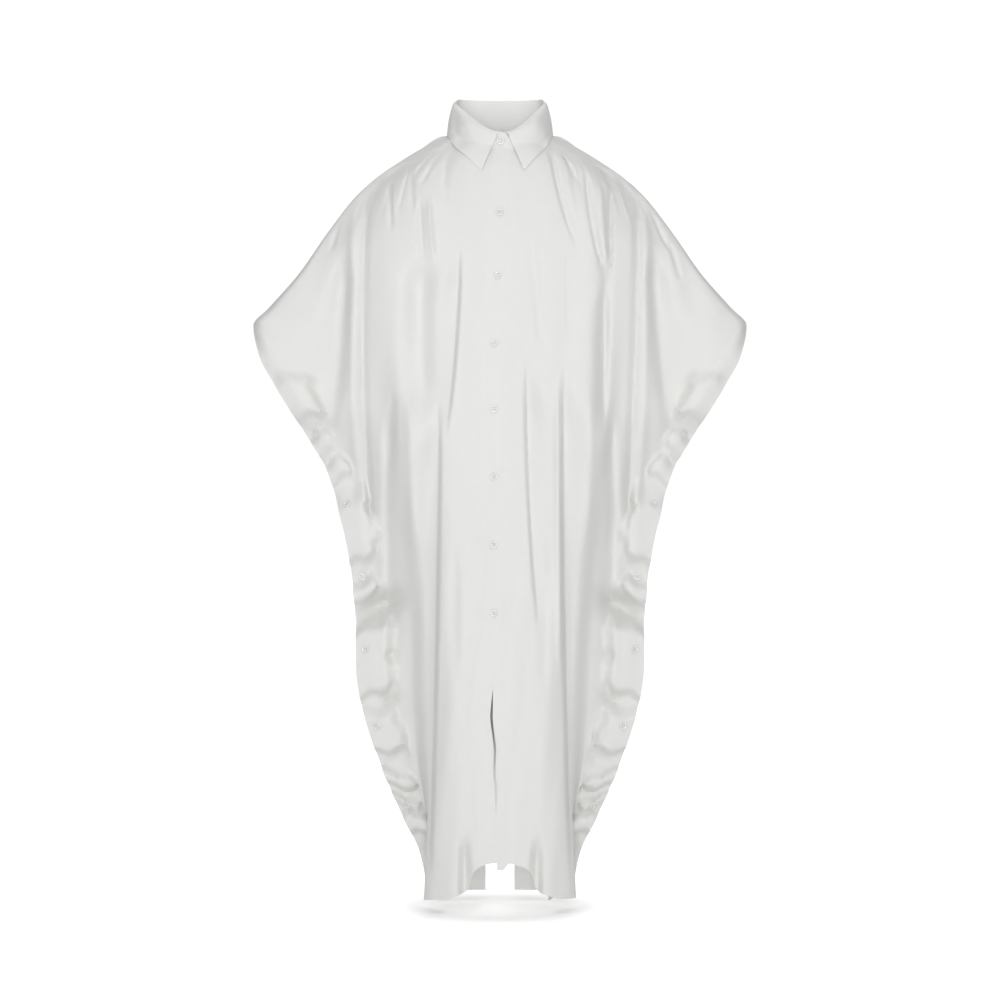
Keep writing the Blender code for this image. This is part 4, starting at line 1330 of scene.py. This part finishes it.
def add_button(node_name, form, column, row):
    """A button and its thread on a form, at a column and row."""
    out = at_grid(face_directions(form), column, row)
    down = at_grid(np.gradient(form.grid, axis=0), column, row)
    place = at_grid(form.grid, column, row) + BUTTON_LIFT * out / np.linalg.norm(out)
    looks = (("button", shared_button, pearl_polyester), ("thread", shared_cross, spun_thread))
    for label, shared, material in looks:
        mesh = shared.copy()
        mesh.transform(frame_at(place, out, down))
        mesh.materials.clear()
        piece = add_piece(f"{label}_{node_name}", mesh, material)
        if label == "button":
            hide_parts(node_name)


# %% [markdown]
# ## Stitches
# Topstitching is one thread showing as a row of short dashes, here 2.5 mm long, a few millimetres in
# from each seam and edge. A dash is a low ball with six sides stretched along the seam, which is enough
# at its size. A buttonhole is worked with dashes set side by side along both edges of its slit.


# %% Rows of stitches
STITCH_PITCH, STITCH_LENGTH = 3.2, 2.5
THREAD_WIDTH, THREAD_HALF_HEIGHT, THREAD_RISE = 0.34, 0.14, 0.1


def grid_line(form, columns, rows):
    """A line over a form, with the directions out of the cloth along it."""
    return at_grid(form.grid, columns, rows), at_grid(face_directions(form), columns, rows)


def stitch_matrices(points, outs, pitch, length, turned):
    """One matrix per stitch along a line of points in mm, each stitch lying flat on the cloth."""
    run = np.concatenate([[0], np.linalg.norm(np.diff(points, axis=0), axis=1).cumsum()])
    spots = np.arange(pitch / 2, run[-1], pitch)

    def at_run(values, at):
        return np.stack([np.interp(at, run, values[:, i]) for i in range(3)], axis=1)

    half_size = [THREAD_WIDTH / 2, length / 2]
    if turned:
        half_size.reverse()
    stretch = Matrix.Diagonal((*(v * MM for v in (*half_size, THREAD_HALF_HEIGHT)), 1))
    for spot, tip, out in zip(at_run(points, spots), at_run(points, spots + 0.5), at_run(outs, spots)):
        yield frame_at(spot + THREAD_RISE * out, out, tip - spot) @ stretch


# %% One dash, copied along the lines
bm = bmesh.new()
bmesh.ops.create_uvsphere(bm, u_segments=6, v_segments=3, radius=1)
one_stitch = finished_mesh("stitch", bm)


def add_stitches(name, lines, pitch=STITCH_PITCH, length=STITCH_LENGTH, turned=False):
    bm = bmesh.new()
    count = 0
    for points, outs in lines:
        for matrix in stitch_matrices(points, outs, pitch, length, turned):
            dash = one_stitch.copy()
            dash.transform(matrix)
            bm.from_mesh(dash)
            bpy.data.meshes.remove(dash)
            count += 1
    add_piece(name, finished_mesh(name, bm), spun_thread)
    print(name, count, "stitches")


# %% A button over its buttonhole
BUTTONHOLE_LENGTH = 14.5


def row_at_drop(grid, column, drop):
    heights = -at_grid(grid, column, np.arange(len(grid)))[:, 2]
    return float(np.interp(drop, heights, np.arange(len(grid))))


def buttoned(node_name, form, column, drop, aside):
    """Adds a button at a drop on a band, and gives the lines of stitches so many columns aside of it."""
    row = row_at_drop(form.grid, column, drop)
    add_button(node_name, form, column, row)
    middle = form.grid.shape[1] // 2
    row_length = np.linalg.norm(form.grid[int(row) + 1, middle] - form.grid[int(row), middle])
    reach = BUTTONHOLE_LENGTH / 2 * (1 / row_length)
    rows = row + np.linspace(-1, 1, 9) * reach
    return [grid_line(form, column + way * aside, rows) for way in (-1, 1)]


# %% Buttons in their places
FRONT_BUTTON_DROPS = (126, 219, 318, 414, 512, 611, 710)
SIDE_BUTTON_DROPS = (448, 552, 661, 768, 883, 1002)
SIDE_BUTTON_COLUMN = BAND_COLUMNS * (1 - 16.0 / BAND_WIDTH)
# The stand's button, as a share of its form's width and of its height above the neck seam.
COLLAR_BUTTON_ACROSS, COLLAR_BUTTON_RISE = 0.04, 0.42
# How far a buttonhole's stitches lie aside of its middle, in columns of its band.
PLACKET_SLIT, BAND_SLIT = 0.3, 0.38

buttonholes = []
for number, drop in enumerate(FRONT_BUTTON_DROPS, 1):
    form = forms["buttonhole_placket"]
    buttonholes += buttoned(f"front_button_{number}", form, PLACKET_COLUMNS / 2, drop, PLACKET_SLIT)
for word in WEARER.values():
    form = forms[f"side_band_front_{word}"]
    for number, drop in enumerate(SIDE_BUTTON_DROPS, 1):
        node_name = f"side_button_{word}_{number}"
        buttonholes += buttoned(node_name, form, SIDE_BUTTON_COLUMN, drop, BAND_SLIT)
stand_row = STAND_ROWS * (STAND_TUCK + COLLAR_BUTTON_RISE) / (1 + STAND_TUCK)
add_button("collar_button", forms["collar_stand"], COLLAR_BUTTON_ACROSS * RING_COLUMNS, stand_row)
add_stitches("buttonhole_stitches", buttonholes, pitch=0.75, length=1.3, turned=True)


# %% Topstitching of bands
PLACKET_INSET = PLACKET_COLUMNS * 5.0 / PLACKET_WIDTH
BAND_INSET = BAND_COLUMNS * 3.0 / BAND_WIDTH


def down_line(node_name, column, first=0.0):
    """A line down a form, from a share of its height."""
    form = forms[node_name]
    rows = np.linspace(first, 1.0, 2 * len(form.grid)) * (len(form.grid) - 1)
    return grid_line(form, column, rows)


lines = [
    down_line("buttonhole_placket", PLACKET_INSET),
    down_line("buttonhole_placket", PLACKET_COLUMNS - PLACKET_INSET),
    down_line("button_placket", PLACKET_INSET, first=0.6),
    down_line("button_placket", PLACKET_COLUMNS - PLACKET_INSET),
]
add_stitches("front_band_stitches", lines)
for word in WEARER.values():
    lines = [
        down_line(f"side_band_{part_name}_{word}", column, first=0.02)
        for part_name in PARTS
        for column in (BAND_INSET, BAND_COLUMNS - BAND_INSET)
    ]
    add_stitches(f"side_band_stitches_{word}", lines)

# %% Topstitching of hems and yoke
# The rows that the stitches follow. The middle of the yoke's front row lies over the neck opening, so
# its stitches keep to the shoulders.
HEM_ROW = ROWS - 1.8
YOKE_FRONT_ROW, YOKE_BACK_ROW = 0.8, YOKE_FRONT_ROWS + YOKE_BACK_ROWS - 0.5
shoulder = YOKE_SHOULDER_COLUMNS / (2 * (YOKE_NECK_COLUMNS + YOKE_SHOULDER_COLUMNS))


def across_line(node_name, row, first=0.0, last=1.0):
    """A line across a form, between two shares of its width."""
    form = forms[node_name]
    columns = np.linspace(first, last, 2 * form.grid.shape[1]) * (form.grid.shape[1] - 1)
    return grid_line(form, columns, row)


lines = []
for word in WEARER.values():
    lines += [across_line(f"front_{word}", HEM_ROW, first=0.06), across_line(f"back_{word}", HEM_ROW)]
add_stitches("hem_stitches", lines)
lines = [
    across_line("yoke", YOKE_BACK_ROW),
    across_line("yoke", YOKE_FRONT_ROW, last=shoulder),
    across_line("yoke", YOKE_FRONT_ROW, first=1 - shoulder),
]
add_stitches("yoke_stitches", lines)

# %% Topstitching of the pocket and the collar
POCKET_INSET = 2.0
POCKET_TURNED = 22
LEAF_ROW, STAND_ROW = LEAF_ROWS - 2, 1.7


def pocket_line(start, end):
    """A straight line over the pocket, between two places given as x and drop."""
    share = np.linspace(0, 1, 80)
    x, drop = mix(start[0], end[0], share), mix(start[1], end[1], share)
    points = on_part(PARTS["front"], 1, across_at_x(PARTS["front"], drop, x), drop, POCKET_RAISED)
    return points, np.tile((0.0, -1.0, 0.0), (share.size, 1))


inner_x, outer_x = POCKET_INNER_X + POCKET_INSET, POCKET_OUTER_X - POCKET_INSET
outline = [
    (inner_x, POCKET_TOP_DROP + 1),
    (inner_x, POCKET_SIDE_DROP - POCKET_INSET),
    (POCKET_MIDDLE_X, POCKET_POINT_DROP - POCKET_INSET),
    (outer_x, POCKET_SIDE_DROP - POCKET_INSET),
    (outer_x, POCKET_TOP_DROP + 1),
]
turned_drop = POCKET_TOP_DROP + POCKET_TURNED
lines = [pocket_line(start, end) for start, end in zip(outline, outline[1:])]
lines.append(pocket_line((inner_x, turned_drop), (outer_x, turned_drop)))
add_stitches("pocket_stitches", lines)
lines = [across_line("collar_leaf", LEAF_ROW), across_line("collar_stand", STAND_ROW, first=0.02, last=0.98)]
add_stitches("collar_stitches", lines)

# %% [markdown]
# ## Facts for the cloth
# Each sheet is told its cut, the flat size before it was sewn and hung. What shows is the whole of each
# piece. The pieces are flat shapes, so a wide one such as a front has an area well under its width times its
# length.


# %% Flat sizes
def flat_size(grid):
    """The widest row, the longest column and the area of a grid, in metres."""
    along_row, down_column = measured(grid)
    a, b = np.diff(grid, axis=1)[:-1] * MM, np.diff(grid, axis=0)[:, :-1] * MM
    area = np.linalg.norm(np.cross(a, b), axis=-1).sum()
    return round(float(along_row.max()), 3), round(float(down_column.max()), 3), round(float(area), 4)


# The pocket is left out, because its form is the whole front that it is cut from.
for node_name, form in forms.items():
    if node_name != "chest_pocket":
        print(node_name, flat_size(form.grid))

# %% Declarations
for word in WEARER.values():
    panels = {part_name: sheets[f"{part_name}_{word}"] for part_name in PARTS}
    for part_name, panel in panels.items():
        band = sheets[f"side_band_{part_name}_{word}"]
